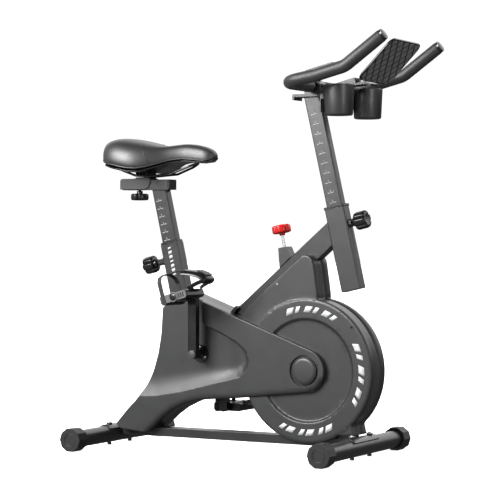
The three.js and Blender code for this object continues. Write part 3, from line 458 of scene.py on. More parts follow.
# ---------------------------------------------------------------- right cover
# How far the outer faces and the middle seam lie from the bike's centre plane.
COVER_FACE, SHROUD_FACE, PART_LINE = 58, 46, 0.35
NOSE_R, HUB_GROOVE_R, RECESS_DEPTH = 61, 41, 12
cover_lower = [
    (-268, 43), (-242, 65), (-214, 90), (-180, 113.5), (-136, 134), (-92, 144), (-37, 149), (33, 154),
]
cover_outline = [
    (-371, 64), (-358, 50), *cover_lower,
    *arc(AXLE.x, AXLE.z, NOSE_R, -83, 69.7, 16),
    (-146, 450), (-151, 447), (-152.5, 446.1), (-176, 432), (-214, 408.2), (-215.5, 407.3), (-217.5, 406),
    (-219, 379), (-223, 326), (-232.7, 273), (-248.5, 222), (-271, 176), (-300, 138), (-334, 105),
]
rolled_edge = cover_lower + [(255.4, 178.5), (285, 190), (303, 212)]
# Edge of the hollow round the crank: x, z, and how far the slope down into it reaches.
recess_edge = [
    (-79, 470, 4), (-79, 372, 4), (-76, 365, 4), (-70, 361, 4), (-11, 337, 5), (30, 317, 6), (54, 301, 8),
    (67, 286, 11), (74, 266, 15), (72, 246, 21), (60, 226, 28), (38, 212, 34), (0, 202, 40),
    (-38, 193, 45), (-148, 165, 55), (-232, 150, 60), (-290, 147, 60), (-345, 147, 60),
]
recess_area = [(x, z) for x, z, _ in recess_edge] + [(-345, 470)]


def cover_depth(spots, inside):
    """Hollow round the crank, rolled lower edge, and the groove round the hub."""
    within = inside_distance(spots, recess_area) > 0
    t = np.clip(near_line(spots, recess_edge), 0, 1)
    over_shroud = ease((spots[:, 0] - 5) / 40)
    depth = RECESS_DEPTH - 2.4 * over_shroud
    sunk = np.where(within, depth * (1 - (1 - t) ** 1.7), 0)
    low_edge = np.minimum(edge_round(open_distance(spots, rolled_edge), 13), 9)
    hub = np.hypot(spots[:, 0] - AXLE.x, spots[:, 1] - AXLE.z)
    groove = 5.5 * ease((3.2 - np.abs(hub - HUB_GROOVE_R)) / 1.2)
    return sunk + low_edge + edge_round(inside, 2.5) + groove


def cover_back(x, z):
    """The side wall is notched where the seat tube comes out of the cover's upper edge."""
    return -21.5 if z > 400 and -215 < x < -151.5 else -PART_LINE


def beside_recess():
    """Rows of points along both sides of the hollow's edge, closest together where it turns over."""
    rows = []
    for offset in (-1.2, -0.2, 0.8, 2.5, 5, 8, 12, 17, 23, 29):
        for (x0, z0, _), (x1, z1, _) in zip(recess_edge, recess_edge[1:]):
            length = math.hypot(x1 - x0, z1 - z0)
            nx, nz = -(z1 - z0) / length, (x1 - x0) / length
            count = max(1, int(length / 6))
            for t in [i / count for i in range(count)]:
                rows.append((x0 + (x1 - x0) * t - nx * offset, z0 + (z1 - z0) * t - nz * offset))
    return rows


def rings_round_axle(radii, steps):
    """Points on circles round the flywheel's axle."""
    return [arc(AXLE.x, AXLE.z, r, 0, 360 * steps / (steps + 1), steps) for r in radii]


hub_rings = rings_round_axle([HUB_GROOVE_R + d for d in (-5, -3.2, -2, 0, 2, 3.2, 5)], 71)
right_cover = relief(
    "cover_right_moulding", softened(cover_outline, 3), cover_depth, -COVER_FACE, -PART_LINE,
    extra=[beside_recess(), *hub_rings], hole=(BRACKET.x, BRACKET.z, 13), back_at=cover_back,
)
dress(right_cover, "frame", "shell_plastic", "side_cover_right")
restyle("side_cover_left", 5)

# ---------------------------------------------------------------- wheel shroud
SHROUD_R, DISC_R, CREASE_R = 201, 143, 196
gusset_top = [(283, 450), (271, 536), (266, 549), (256, 558), (244, 561), (232, 558)]
shroud_outline = [
    *arc(AXLE.x, AXLE.z, SHROUD_R, 187, 300.5, 34),
    (350, 64.5), (394, 64.5), (387, 93.5),
    *arc(AXLE.x, AXLE.z, SHROUD_R, 320.5, 440, 36),
    *gusset_top,
    (36, 391), (28, 380),
]


def shroud_depth(spots, inside):
    """Sunk disc, crease near the rim, and the fall of the gusset towards the crank."""
    radius = np.hypot(spots[:, 0] - AXLE.x, spots[:, 1] - AXLE.z)
    disc = 6.5 * ease((DISC_R + 4 - radius) / 9)
    crease = 0.9 * np.exp(-(((radius - CREASE_R) / 1.3) ** 2))
    gusset = 1.6 * ease((radius - CREASE_R) / 5)
    hollow = 7 * ease((radius - CREASE_R) / 40) * ease((150 - spots[:, 0]) / 130)
    return disc + crease + gusset + hollow + edge_round(inside, 5)


disc_rings = [DISC_R + d for d in (-6, -4, -2, 0, 2, 4, 5.5)]
crease_rings = [CREASE_R + d for d in (-3.5, -2, -1, 0, 1, 2, 4, 7)]
for side, sign in SIDES:
    shroud = relief(
        f"shroud_{side}_moulding", softened(shroud_outline, 1, 3.5), shroud_depth, sign * SHROUD_FACE,
        sign * PART_LINE, extra=rings_round_axle(disc_rings + crease_rings, 119), grid=14,
    )
    dress(shroud, "frame", "shell_plastic", f"flywheel_shroud_{side}")

# Raised boss over the flywheel axle.
for side, face, sign in (("right", COVER_FACE, -1), ("left", SHROUD_FACE - 6.5, 1)):
    profile = [(0.01, 3.2), (27, 3.1), (33, 2.5), (36.4, 1.0), (37.8, -1.5), (37.8, -4)]
    boss = turned(f"hub_boss_{side}", profile, (AXLE.x, sign * face, AXLE.z), (0, sign, 0), 72, 60)
    dress(boss, "frame", "shell_plastic")

# Black trim where the main tube enters the covers.
trim = slab("spine_trim", [(0, 397), (17, 415), (25, 407), (8, 389)], crosswise(-32), 64)
dress(bevel(trim, 2, 3), "frame", "black_plastic")

# ---------------------------------------------------------------- printed marks
def printed(name, points, faces, body, thickness, slot):
    """A thin white print from flat patches."""
    dress(thicken(piece_of(name, points, faces), thickness), body, "print_white", slot=slot)


def ring_marks():
    """Three groups of slanted bars round the shroud's ring, wide and narrow in turn."""
    points, faces = [], []
    bars, middle, width, slant = 6, 171, 17, -3
    for start, stop in ((112, 54), (29, -35), (-60, -121)):
        for i in range(bars):
            angle = start + (stop - start) * i / bars
            span = (stop - start) / bars * (0.72 if i % 2 == 0 else 0.42)
            base = len(points)
            for r, shift in ((middle - width / 2, 0), (middle + width / 2, slant)):
                for step in range(5):
                    turn = math.radians(angle + shift + span * step / 4)
                    x, z = AXLE.x + r * math.cos(turn), AXLE.z + r * math.sin(turn)
                    points.append((x, -SHROUD_FACE - 0.35, z))
            faces += [(base + k, base + k + 1, base + k + 6, base + k + 5) for k in range(4)]
    printed("ring_print", points, faces, "frame", 0.3, "shell_plastic")


def post_scale(name, body, first, last, count):
    """Ticks with a small stroke over each, printed on the right face of a post."""
    points, faces = [], []

    def stroke(centre, half_a, half_b, turn=0.0):
        """A small rectangle in the plane of the post's side."""
        base = len(points)
        ca, sa = math.cos(turn), math.sin(turn)
        for a, b in ((-half_a, -half_b), (half_a, -half_b), (half_a, half_b), (-half_a, half_b)):
            points.append(centre + OUT * (a * ca - b * sa) + UP * (a * sa + b * ca))
        faces.append((base, base + 1, base + 2, base + 3))

    for i in range(count):
        centre = Vector(first).lerp(Vector(last), i / (count - 1))
        stroke(centre - OUT * 5.5, 4.4, 0.75)
        stroke(centre + OUT * 5.5, 4.4, 0.75)
        for offset, half, turn in ((3.2, 1.6, 0.0), (6.2, 1.5, 0.35)):
            stroke(centre + UP * offset, 0.5, half, turn)
    printed(name, points, faces, body, 0.15, "frame_paint")


def tube_bars(name, top, count):
    """A column of plain slanted bars printed on the right face of a leaning tube."""
    points, faces = [], []
    for i in range(count):
        centre = Vector(top) - UP * (13 * i)
        half = 4.2 if i % 3 else 2.2
        base = len(points)
        for a, b in ((-5.5, -half - 1), (5.5, -half + 1), (5.5, half + 1), (-5.5, half - 1)):
            points.append(centre + OUT * a + UP * b)
        faces.append((base, base + 1, base + 2, base + 3))
    printed(name, points, faces, "frame", 0.15, "frame_paint")


ring_marks()
tube_bars("seat_tube_bars", (-211, -19.2, 577), 7)
post_scale("bar_post_scale", "handlebar", (257, -14.2, 950), (316, -14.2, 704.5), 10)
post_scale("seat_post_scale", "seat_post", (-250, -14.2, 713.5), (-221.5, -14.2, 600), 6)

# ---------------------------------------------------------------- pieces kept in their CAD shape
ROUNDING = {
    "base_rail": 2.5, "main_tube": 4, "seat_tube": 3, "head_tube": 3, "rear_leg": 2, "handlebar_post": 2,
    "seat_post": 1.6, "seat_tube_bush": 1, "head_tube_bush": 1,
    "fork_plate_right": 0.8, "fork_plate_left": 0.8,
    "resistance_housing": 2.5, "saddle_carriage": 1.2, "slider_end_cap": 1.2,
    "front_stabiliser": 0.8, "rear_stabiliser": 0.8, "front_mount_plate": 0.8, "rear_mount_plate": 0.8,
    "front_end_cap_right": 2, "front_end_cap_left": 2, "rear_end_cap_right": 2, "rear_end_cap_left": 2,
    "crank_arm_right": 2.5, "crank_arm_left": 2.5, "crank_axle": 0.5, "drive_pulley": 0.8, "drive_belt": 0.5,
    "flywheel": 1, "flywheel_axle": 0.5, "bottom_bracket_bearing": 0.4, "accessory_carrier": 1,
    "stem_clamp_cap": 2, "console": 1.6, "console_button": 0.5, "brake_shoe": 0.8, "brake_pad": 0.5,
    "pedal_body_right": 1.5, "pedal_body_left": 1.5, "toe_strap_right": 0.5, "toe_strap_left": 0.5,
}
for node, width in ROUNDING.items():
    restyle(node, width)
restyle("handlebar_tube", 0, "black_steel")
restyle("saddle_base", 1, "black_steel")

# ---------------------------------------------------------------- pedals
CRANK, PEDAL_FACE, PEDAL_PITCH = 165, 198, math.radians(16)
# The hood's line (forward, up) from the pedal body over the toe, then its places across and how far each edge
# rolls inward there.
HOOD = [
    (46, 3), (58, 7), (74, 9.5), (89, 11.5), (100, 15), (105, 22),
    (102, 32), (92, 43), (75, 54), (52, 64), (30, 70),
]
HOOD_ACROSS = [116, 117, 121, 128, 138, 150, 162, 173, 181, 186, 188]
HOOD_CURL = [15, 9, 4, 1.5, 0.3, 0, 0.3, 1.5, 4, 9, 15]


def toe_hood(name, on_pedal):
    """The moulded cage over the toe, with a window in front."""
    points, columns = [], len(HOOD_ACROSS)
    middle = (HOOD_ACROSS[0] + HOOD_ACROSS[-1]) / 2
    for i, (x, z) in enumerate(HOOD):
        (x0, z0), (x1, z1) = HOOD[max(i - 1, 0)], HOOD[min(i + 1, len(HOOD) - 1)]
        length = math.hypot(x1 - x0, z1 - z0)
        inward = (-(z1 - z0) / length, (x1 - x0) / length)
        taper = 1 - 0.16 * math.sin(math.pi * i / (len(HOOD) - 1)) ** 2
        for y, curl in zip(HOOD_ACROSS, HOOD_CURL):
            points.append(on_pedal(x + inward[0] * curl, middle + (y - middle) * taper, z + inward[1] * curl))
    faces = [
        (i * columns + j, i * columns + j + 1, (i + 1) * columns + j + 1, (i + 1) * columns + j)
        for i in range(len(HOOD) - 1) for j in range(columns - 1)
        if not (i in (1, 2) and 2 <= j <= columns - 4)
    ]
    return subdivide(thicken(piece_of(name, points, faces, 80), 2.6, 0))


def pedal(side, sign):
    """Hood, strap link, end plate and cap of one pedal, in the pedal's own directions."""
    centre = Vector((BRACKET.x, 0, BRACKET.z - sign * CRANK))
    pitch = PEDAL_PITCH if sign < 0 else 0
    forward = Vector((math.cos(pitch), 0, math.sin(pitch)))
    raised = Vector((-math.sin(pitch), 0, math.cos(pitch)))
    body = f"pedal_{side}"

    def on_pedal(x, y, z):
        """A point from the spindle: forward, outward from the bike's middle, and up."""
        return centre + forward * x + ACROSS * (sign * y) + raised * z

    def pedal_slab(name, outline, inner, thickness):
        """A slab whose outline is forward and up, and which runs outward from inner."""
        return slab(f"{name}_{side}", outline, lambda a, b, d: on_pedal(a, inner + d, b), thickness)

    dress(toe_hood(f"toe_hood_{side}", on_pedal), body, "black_plastic", f"toe_cage_{side}")
    pad = [(102, 34), (104, 35.5), (94.5, 45.8), (77, 57), (76, 54.5), (92, 43.5)]
    dress(bevel(pedal_slab("hood_pad", pad, 136, 32), 0.6, 2), body, "cap_rubber")
    link = [(34, 71.6), (34, 68.8), (0, 70.6), (-26, 71.2), (-26, 74.6), (0, 73.4)]
    dress(bevel(pedal_slab("strap_link", link, 143, 18), 0.6, 2), body, "cap_rubber")
    plate = [(-42, -8), (-39, -11), (38, -11), (42, -6.5), (42, 7), (38, 11), (-39, 11), (-42, 8)]
    # The end plate is black plastic; its grey finish is painted highlight.
    end_plate = bevel(pedal_slab("pedal_plate", plate, PEDAL_FACE - 0.6, 1.8), 0.7, 2)
    dress(end_plate, body, "pedal_painted_highlight", slot="black_plastic")
    for i, x in enumerate((17, 24, 31)):
        notch = slab(
            f"pedal_notch_{side}_{i}", [(x, -6.5), (x + 3.6, -6.5), (x + 3.6, 6.5), (x, 6.5)],
            lambda a, b, d: on_pedal(a, PEDAL_FACE + 0.9 + d, b), 0.7,
        )
        dress(notch, body, "black_plastic")
    spindle_end = on_pedal(0, PEDAL_FACE + 0.6, 0)
    # The ring round the spindle cap is black plastic too; its grey is painted highlight.
    ring = [(10.4, -1), (10.4, 2.2), (11, 2.9), (13, 2.9), (13.6, 2.2), (13.6, -1)]
    dress(turned(f"pedal_cap_ring_{side}", ring, spindle_end, (0, sign, 0), 40, 50),
          body, "pedal_painted_highlight", slot="black_plastic")
    cap = [(0.01, 3.4), (3, 3.4), (3.4, 2.6), (8.6, 2.6), (10.2, 1.2), (10.2, -1)]
    dress(turned(f"pedal_cap_{side}", cap, spindle_end, (0, sign, 0), 32, 50), body, "black_plastic")


for side, sign in SIDES:
    pedal(side, sign)

# ---------------------------------------------------------------- foam grips
BAR_X, BAR_Z, BAR_HALF, BAR_BEND = 256, 1027, 187, 62
bar_side = [(BAR_X, BAR_Z), (351, 1042), (437, 1063), (547, 1140)]
for side, sign in SIDES:
    corners = [(BAR_X, sign * 34, BAR_Z)] + [(x, sign * BAR_HALF, z) for x, z in bar_side]
    line = bent(corners, BAR_BEND, 10)
    start, end = line[0], line[-1]
    heading = (line[-1] - line[-2]).normalized()
    # Both ends of the foam are rounded over three narrow rings.
    line = [start, start + ACROSS * (sign * 0.6), start + ACROSS * (sign * 2.5)] + line[1:-1]
    line += [end - heading * 5, end - heading * 3.2, end - heading * 2.4]
    radii = [14.2, 16.4, 17.4] + [17.5] * (len(line) - 6) + [17.4, 16.4, 14.2]
    dress(swept(f"grip_{side}_foam", line, radii, 32), "handlebar", "foam", f"foam_grip_{side}")
    plug = [(0.01, 6.6), (8, 6.5), (12.5, 5.6), (15.4, 3.2), (16.4, 0.4), (16.4, -1.6), (12, -2.2)]
    dress(turned(f"bar_plug_{side}", plug, end, heading, 40, 60), "handlebar", "black_plastic")

# ---------------------------------------------------------------- cups
CUP_PROFILE = [
    (0.01, 5), (33, 5), (35.2, 7), (39.4, 80), (39.9, 83.2), (40.7, 84), (41.6, 83.7), (42, 82.6), (42, 79),
    (38.4, 4), (37, 1.2), (34.5, 0), (0.01, 0),
]
for side, sign in SIDES:
    cup = turned(f"cup_{side}_moulding", CUP_PROFILE, (372, sign * 90, 939), (0, 0, 1), 72, 50)
    dress(cup, "handlebar", "cup_plastic", f"cup_holder_{side}")


# ---------------------------------------------------------------- knobs
def lobed(name, radius, length, lobes, centre, axis, finish, node, neck, deep=0.22):
    """A hand knob with rounded lobes along an axis, its neck on the near side."""
    along, side, rise = circle_frame(axis)
    sides = lobes * 16
    profile = [
        (0.62, 0), (0.9, 0.4), (0.98, 2.5), (1, 5), (1, length - 6), (0.97, length - 2.6),
        (0.88, length - 0.6), (0.62, length), (0.5, length - 1.2), (0.02, length - 1.6),
    ]
    points = []
    for factor, height in profile:
        middle = Vector(centre) + along * height
        for j in range(sides):
            turn = 2 * math.pi * j / sides
            wave = 1 - deep * max(0, math.cos(turn * lobes)) ** 3 * min(factor / 0.9, 1)
            points.append(middle + radius * factor * wave * (side * math.cos(turn) + rise * math.sin(turn)))
    knob = piece_of(name, points, ring_faces(len(profile), sides), 60)
    neck_piece = turned(name + "_neck", neck, centre, along, 32, 45)
    return dress(joined(name, [knob, neck_piece]), node, finish, node)


def pin_neck(reach):
    """The neck of a pull knob and the pin that it carries into the tube."""
    return [(0.01, -reach), (3.4, 0.5 - reach), (4.2, 3 - reach), (4.2, -8), (12, -8), (13.5, -6), (14, 1)]


seat_pin_root = Vector((-213.7, 0, 589.5)) - UP * 45
bar_pin_root = Vector((373, 0, 463)) + UP * 182.4
lobed("seat_height_grip", 25, 35, 6, seat_pin_root - OUT * 66, -OUT, "black_plastic", "seat_height_knob",
      pin_neck(41))
lobed("bar_height_grip", 25, 35, 6, bar_pin_root + OUT * 51, OUT, "black_plastic", "bar_height_knob",
      pin_neck(26))
lobed("slider_grip", 26, 20, 6, (-324, 0, 736), (0, 0, -1), "black_plastic", "slider_knob",
      [(0.01, -40), (4.4, -40), (4.4, -8), (8, -8), (9, -6), (9, 1)])
BRAKE_LEAN = math.radians(11)
brake_axis = Vector((-math.sin(BRAKE_LEAN), 0, math.cos(BRAKE_LEAN)))
brake_top = Vector((157, 0, 581))
lobed("resistance_grip", 26.5, 23, 5, brake_top + brake_axis * 40, brake_axis, "red_plastic",
      "resistance_knob", [(4.5, -7), (7, -7), (8, -5), (9, 2)], deep=0.16)
ROD = [(0.01, -158), (3.4, -158), (4, -157), (4, 43)]
rod = turned("resistance_rod_turned", ROD, brake_top, brake_axis, 32)
dress(rod, "brake_plunger", "zinc_steel", "resistance_rod")

# ---------------------------------------------------------------- saddle
# Half width, underside height and top height at places along the saddle.
PLAN = [
    (-412, 25), (-406, 62), (-390, 93), (-360, 110), (-325, 114), (-285, 109),
    (-250, 92), (-210, 62), (-165, 41), (-110, 31), (-74, 22), (-64, 10),
]
UNDERSIDE = [
    (-412, 838), (-385, 820), (-350, 811), (-302, 801), (-265, 801), (-235, 811), (-195, 825), (-154, 830),
    (-113, 826), (-76, 829), (-64, 838),
]
CREST = [
    (-412, 852), (-403, 880), (-382, 894), (-355, 898), (-301, 890), (-219, 873), (-190, 875), (-161, 878),
    (-130, 876), (-104, 870), (-74, 857), (-64, 847),
]
STATION_X = [
    -412, -408, -403, -396, -386, -372, -352, -328, -302, -277, -252,
    -230, -212, -194, -176, -156, -134, -112, -92, -78, -70, -64,
]
# Half of a cross section: across as a share of the half width, and rise as a share of the height.
SECTION = [
    (0.0, 0.0), (0.45, 0.0), (0.78, 0.015), (0.93, 0.05), (0.985, 0.12), (1.0, 0.22), (0.995, 0.36),
    (0.97, 0.5), (0.925, 0.64), (0.86, 0.76), (0.76, 0.86), (0.62, 0.93), (0.46, 0.97), (0.3, 0.99),
    (0.14, 0.997),
]


def eased_height(x, pairs):
    """A smooth height between [x, height] pairs."""
    known, heights = zip(*pairs)
    slopes = np.gradient(heights, known)
    i = int(np.clip(np.searchsorted(known, x) - 1, 0, len(known) - 2))
    span = known[i + 1] - known[i]
    t = (x - known[i]) / span
    return float(
        (2 * t ** 3 - 3 * t ** 2 + 1) * heights[i] + (t ** 3 - 2 * t ** 2 + t) * span * slopes[i]
        + (3 * t ** 2 - 2 * t ** 3) * heights[i + 1] + (t ** 3 - t ** 2) * span * slopes[i + 1])


def saddle_at(x, across, rise):
    """A point on the saddle: across and rise are shares of its half width and height at x."""
    half, low, high = (eased_height(x, pairs) for pairs in (PLAN, UNDERSIDE, CREST))
    channel = 3.0 * math.exp(-(across / 0.22) ** 2) * math.exp(-((x + 215) / 70) ** 2) if rise > 0.9 else 0
    return Vector((x, across * half, low + (high - low) * rise - channel))


ring = SECTION + [(0.0, 1.0)] + [(-f, g) for f, g in reversed(SECTION[1:])]
saddle_points = [saddle_at(x, across, rise) for x in STATION_X for across, rise in ring]
saddle = subdivide(piece_of("saddle_padding", saddle_points, ring_faces(len(STATION_X), len(ring)), 80))
dress(saddle, "saddle", "vinyl", "saddle_cushion")

LEFT_RAIL = [
    (-360, 40, 804), (-322, 25, 788), (-277, 22, 786), (-206, 20, 791), (-150, 17, 811), (-126, 6, 821),
]
rail_line = bent([(x, -y, z) for x, y, z in LEFT_RAIL] + LEFT_RAIL[::-1], 24, 5)
dress(swept("saddle_rail_bar", rail_line, 3.5, 20), "saddle", "black_steel", "saddle_rails")

# Raised welts along the lower edge, and a seam down both flanks.
SEAM = [
    (-278, 0.52, 0.958), (-273, 0.66, 0.915), (-266, 0.80, 0.835), (-259, 0.905, 0.69), (-252, 0.965, 0.52),
    (-246, 0.995, 0.34), (-241, 1.0, 0.2), (-238, 0.975, 0.1),
]
for side, sign in SIDES:
    edge = [saddle_at(x, sign * 0.965, 0.085) for x in STATION_X[2:-1]]
    dress(swept(f"saddle_welt_{side}", edge, 2.1, 12), "saddle", "vinyl")
    seam = bent([saddle_at(x, sign * across, rise) for x, across, rise in SEAM], 40, 3)
    dress(swept(f"saddle_seam_{side}", seam, 1.1, 10), "saddle", "vinyl")

# Ribbed block that holds the rails under the shell, and the cradle that it rocks on.
for i in range(4):
    rib = slab(
        f"saddle_rib_{i}", [(-29, 786), (29, 786), (27, 809), (-27, 809)],
        lambda a, b, d: Vector((-321 + 10.5 * i + d, a, b)), 5,
    )
    dress(bevel(rib, 1.2, 2), "saddle", "black_plastic")
CRADLE = [(-333, 778.5), (-273, 778.5), (-280, 783.4), (-326, 783.4)]
cradle = slab("saddle_cradle", CRADLE, crosswise(-17.5), 35)
dress(bevel(cradle, 1.2, 2), "saddle_carriage", "black_plastic")

# ---------------------------------------------------------------- tablet tray
TRAY_LOW, TRAY_TILT = Vector((434, 0, 1030)), math.radians(45.5)
tray_along = Vector((math.cos(TRAY_TILT), 0, math.sin(TRAY_TILT)))
tray_out = Vector((-math.sin(TRAY_TILT), 0, math.cos(TRAY_TILT)))
TRAY_LENGTH, TRAY_HALF, CORNER = 149, 98, 24


def tray_place(a, b, depth):
    """A point on the tray: a up along it, b across, and depth out of its back."""
    return TRAY_LOW + tray_along * a + ACROSS * b + tray_out * depth


def tray_edge(inset):
    """The tray's rounded outline, that far inside its edge at the corners' arcs."""
    high_a, low_a, side_b, r = TRAY_LENGTH - CORNER, CORNER, TRAY_HALF - CORNER, CORNER - inset
    return [
        *arc(high_a, side_b, r, 0, 90, 8), *arc(low_a, side_b, r, 90, 180, 8),
        *arc(low_a, -side_b, r, 180, 270, 8), *arc(high_a, -side_b, r, 270, 360, 8),
    ]


def clipped(polygon, outline):
    """A convex polygon cut to a convex outline."""
    for (ax, ay), (bx, by) in zip(outline, outline[1:] + outline[:1]):

        def left_of(point):
            """Positive when the point is on the inner side of this edge."""
            return (bx - ax) * (point[1] - ay) - (by - ay) * (point[0] - ax)

        result = []
        for p, q in zip(polygon, polygon[1:] + polygon[:1]):
            at_p, at_q = left_of(p), left_of(q)
            if at_p >= 0:
                result.append(p)
            if (at_p >= 0) != (at_q >= 0):
                t = at_p / (at_p - at_q)
                result.append((p[0] + (q[0] - p[0]) * t, p[1] + (q[1] - p[1]) * t))
        polygon = result
        if len(polygon) < 3:
            return []
    return polygon


def diamond_pads(length, width, groove):
    """Raised diamonds on both faces of the tray, with grooves between them."""
    points, faces = [], []
    edge = tray_edge(4)
    for row in range(-1, 16):
        for column in range(-8, 9):
            ca = row * length / 2
            cb = column * width + (width / 2 if row % 2 else 0)
            ha, hb = length / 2 - groove * 1.2, width / 2 - groove
            shape = clipped([(ca + ha, cb), (ca, cb + hb), (ca - ha, cb), (ca, cb - hb)], edge)
            if not shape:
                continue
            n = len(shape)
            ma, mb = sum(p[0] for p in shape) / n, sum(p[1] for p in shape) / n
            for levels in (((1, 9.0), (1, 9.7), (0.97, 9.9)), ((1, 2.4), (1, 1.8), (0.97, 1.6))):
                base = len(points)
                for scale, depth in levels:
                    points += [
                        tray_place(ma + (a - ma) * scale, mb + (b - mb) * scale, depth) for a, b in shape
                    ]
                for low in (base, base + n):
                    faces += [
                        (low + i, low + (i + 1) % n, low + n + (i + 1) % n, low + n + i) for i in range(n)
                    ]
                faces.append(tuple(base + 2 * n + i for i in range(n)))
    return piece_of("tray_diamonds", points, faces, 25)


tray = slab("tray_plate", tray_edge(0), lambda a, b, d: tray_place(a, b, d + 2.2), 7)
dress(bevel(tray, 2.4, 3), "handlebar", "black_plastic", "tablet_tray", slot="cap_rubber")
dress(diamond_pads(35, 36, 3.3), "handlebar", "pad_rubber", slot="cap_rubber")
LEDGE = [(5, -60), (10, -60), (10, 60), (5, 60)]
ledge = slab("tray_ledge", LEDGE, lambda a, b, d: tray_place(a, b, d + 8), 16)
dress(bevel(ledge, 2, 3), "handlebar", "black_plastic")


# ---------------------------------------------------------------- screws, bolts and caps
def screw(name, centre, axis, body, finish="zinc_steel"):
    """The head of a small screw with a socket."""
    profile = [(0.01, 0.4), (1.62, 0.4), (1.8, 1.6), (2.88, 1.5), (3.6, 0.7), (3.6, -2)]
    dress(turned(name, profile, centre, axis, 24, 40), body, finish)


CRANK_CAP = [
    (0.01, 2.6), (8.8, 2.6), (9.6, 2.2), (9.9, 1.5), (10.2, 2.4), (11.6, 2.4), (12.2, 1.6), (12.2, -1),
]
BOLT_HEAD = [(0.01, 3.2), (4.6, 3.2), (5.4, 2.6), (5.6, 0.6), (9.4, 0.4), (10.2, 0.1), (10.2, -1)]
NUT = [(0.01, 0.9), (5.6, 0.9), (6.6, 0.2), (6.6, -1)]
CAP_RING = [(15.6, -2), (15.6, 0.5), (16.4, 1.1), (17.6, 1.1), (18.4, 0.5), (18.4, -2)]

# On the shroud: one bright screw on the gusset's slope, and two black ones by the rim.
for i, (x, z, out, finish) in enumerate((
        (157, 477, 2.4, "zinc_steel"), (389, 363.5, 0.4, "black_steel"), (342, 66.5, 0.4, "black_steel"))):
    screw(f"shroud_screw_{i}", (x, out - SHROUD_FACE, z), (0, -1, 0), "frame", finish)
for side, sign in SIDES:
    outward = (0, sign, 0)
    cap = turned(f"crank_cap_{side}", CRANK_CAP, (BRACKET.x, sign * 98.2, BRACKET.z), outward, 40, 30)
    dress(cap, "crank", "satin_grey", slot="black_steel")
    for angle in (90, 210, 330):
        x, z = arc(BRACKET.x, BRACKET.z, 19, angle, angle, 1)[0]
        screw(f"flange_bolt_{side}_{angle}", (x, sign * 54.1, z), outward, "crank")
    for end, x in (("front", FOOT_X), ("rear", -FOOT_X)):
        bolt = turned(f"{end}_bolt_{side}", BOLT_HEAD, (x, sign * 55, 65.6), (0, 0, 1), 28, 40)
        dress(bolt, "frame", "zinc_steel")
        nut = turned(f"{end}_nut_{side}", NUT, (x, sign * 55, 1.7), (0, 0, -1), 6, 40)
        dress(nut, "frame", "zinc_steel")
        rim = turned(f"{end}_cap_ring_{side}", CAP_RING, (x, sign * 258.5, 32.5), outward, 48, 40)
        dress(rim, "frame", "cap_rubber")

# ---------------------------------------------------------------- floor, light and camera
def studio_floor():
    """A pale floor just under the feet, which glows enough to stay white and throws no light back up."""
    mesh = bpy.data.meshes.new("floor")
    mesh.from_pydata([(-30, -30, 0), (30, -30, 0), (30, 30, 0), (-30, 30, 0)], [], [(0, 1, 2, 3)])
    floor = bpy.data.objects.new("floor", mesh)
    bpy.context.collection.objects.link(floor)
    floor.location.z = -0.0006
    finish = surface("studio_floor", (0.8, 0.8, 0.8), 0.8, spread=0.0)
    shader = finish.node_tree.nodes["Principled BSDF"]
    shader.inputs["Emission Color"].default_value = (1, 1, 1, 1)
    shader.inputs["Emission Strength"].default_value = 0.9
    mesh.materials.append(finish)
    floor.visible_diffuse = floor.visible_glossy = False


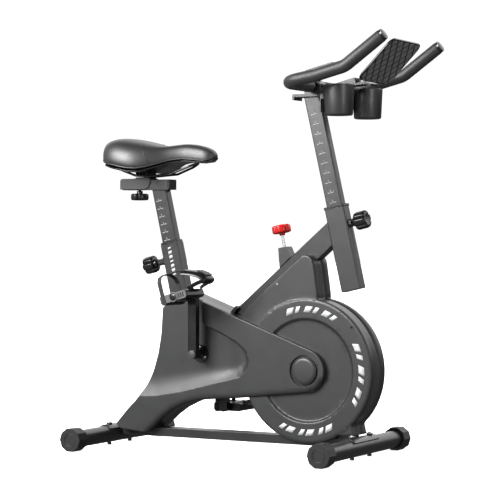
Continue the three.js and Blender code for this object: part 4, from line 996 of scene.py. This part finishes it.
def studio_world():
    """Dark on the near side and bright low behind the bike, with a white backdrop for the camera alone."""
    world = bpy.data.worlds.new("studio")
    bpy.context.scene.world = world
    world.use_nodes = True
    nodes, links = world.node_tree.nodes, world.node_tree.links
    place = nodes.new("ShaderNodeTexCoord")
    split = nodes.new("ShaderNodeSeparateXYZ")
    links.new(place.outputs["Generated"], split.inputs["Vector"])

    def ramp(axis, levels):
        """Brightness along one axis, from [position, brightness] pairs."""
        made = nodes.new("ShaderNodeValToRGB")
        links.new(split.outputs[axis], made.inputs["Fac"])
        while len(made.color_ramp.elements) < len(levels):
            made.color_ramp.elements.new(0.5)
        for stop, (position, level) in zip(made.color_ramp.elements, levels):
            stop.position = position
            stop.color = (level, level, level, 1)
        return made.outputs["Color"]

    blend = nodes.new("ShaderNodeMix")
    blend.data_type = "RGBA"
    links.new(ramp("Y", [(0.05, 0.0), (0.45, 1.0)]), blend.inputs["Factor"])
    near_side = [(0.0, 0.24), (0.2, 0.22), (0.42, 0.06), (0.7, 0.015), (1.0, 0.02)]
    far_side = [(0.0, 0.05), (0.12, 0.1), (0.26, 1.0), (0.62, 1.0), (0.8, 0.03), (1.0, 0.03)]
    links.new(ramp("Z", near_side), blend.inputs["A"])
    links.new(ramp("Z", far_side), blend.inputs["B"])
    light = nodes["Background"]
    light.inputs["Strength"].default_value = 1.9
    links.new(blend.outputs["Result"], light.inputs["Color"])
    backdrop = nodes.new("ShaderNodeBackground")
    backdrop.inputs["Color"].default_value = (1, 1, 1, 1)
    backdrop.inputs["Strength"].default_value = 1.05
    ray_kind = nodes.new("ShaderNodeLightPath")
    chosen = nodes.new("ShaderNodeMixShader")
    links.new(ray_kind.outputs["Is Camera Ray"], chosen.inputs["Fac"])
    links.new(light.outputs["Background"], chosen.inputs[1])
    links.new(backdrop.outputs["Background"], chosen.inputs[2])
    links.new(chosen.outputs["Shader"], nodes["World Output"].inputs["Surface"])


def lamp(name, kind, place, target, energy, size=(1, 1), shine=True):
    """A lamp aimed at a target; without shine it lights surfaces but isn't reflected in them."""
    light = bpy.data.lights.new(name, kind)
    light.energy = energy
    if kind == "AREA":
        light.shape = "RECTANGLE"
        light.size, light.size_y = size
    else:
        light.angle = size
    made = bpy.data.objects.new(name, light)
    bpy.context.collection.objects.link(made)
    made.location = place
    made.rotation_euler = (Vector(target) - Vector(place)).to_track_quat("-Z", "Y").to_euler()
    made.visible_glossy = shine


studio_floor()
studio_world()
bpy.context.scene.view_settings.view_transform = "Standard"
lamp("sun_above", "SUN", (0.0, -0.4, 1.0), (0, 0, 0), 3.0, math.radians(50), shine=False)
lamp("key_left", "AREA", (-1.7, -3.4, 2.4), (0, 0, 0.8), 430, (2.4, 1.8))
lamp("strip_front", "AREA", (3.2, -1.7, 1.2), (0, 0, 0.7), 24, (0.2, 2.4))
lamp("fill_behind", "AREA", (1.4, 3.6, 2.0), (0, 0, 0.6), 150, (2.0, 2.0), shine=False)
lamp("strip_low", "AREA", (-0.6, -3.4, 0.5), (0, 0, 0.6), 9, (2.4, 0.25))

AZIMUTH, PITCH = math.radians(29.07), math.radians(0.527)
camera_data = bpy.data.cameras.new("camera")
camera_data.sensor_width = 36
camera_data.lens = 133.84
camera = bpy.data.objects.new("camera", camera_data)
bpy.context.collection.objects.link(camera)
camera.location = at(2611, -4614, 620.7)
look = Vector((-math.sin(AZIMUTH) * math.cos(PITCH), math.cos(AZIMUTH) * math.cos(PITCH), -math.sin(PITCH)))
camera.rotation_euler = look.to_track_quat("-Z", "Y").to_euler()
bpy.context.scene.camera = camera
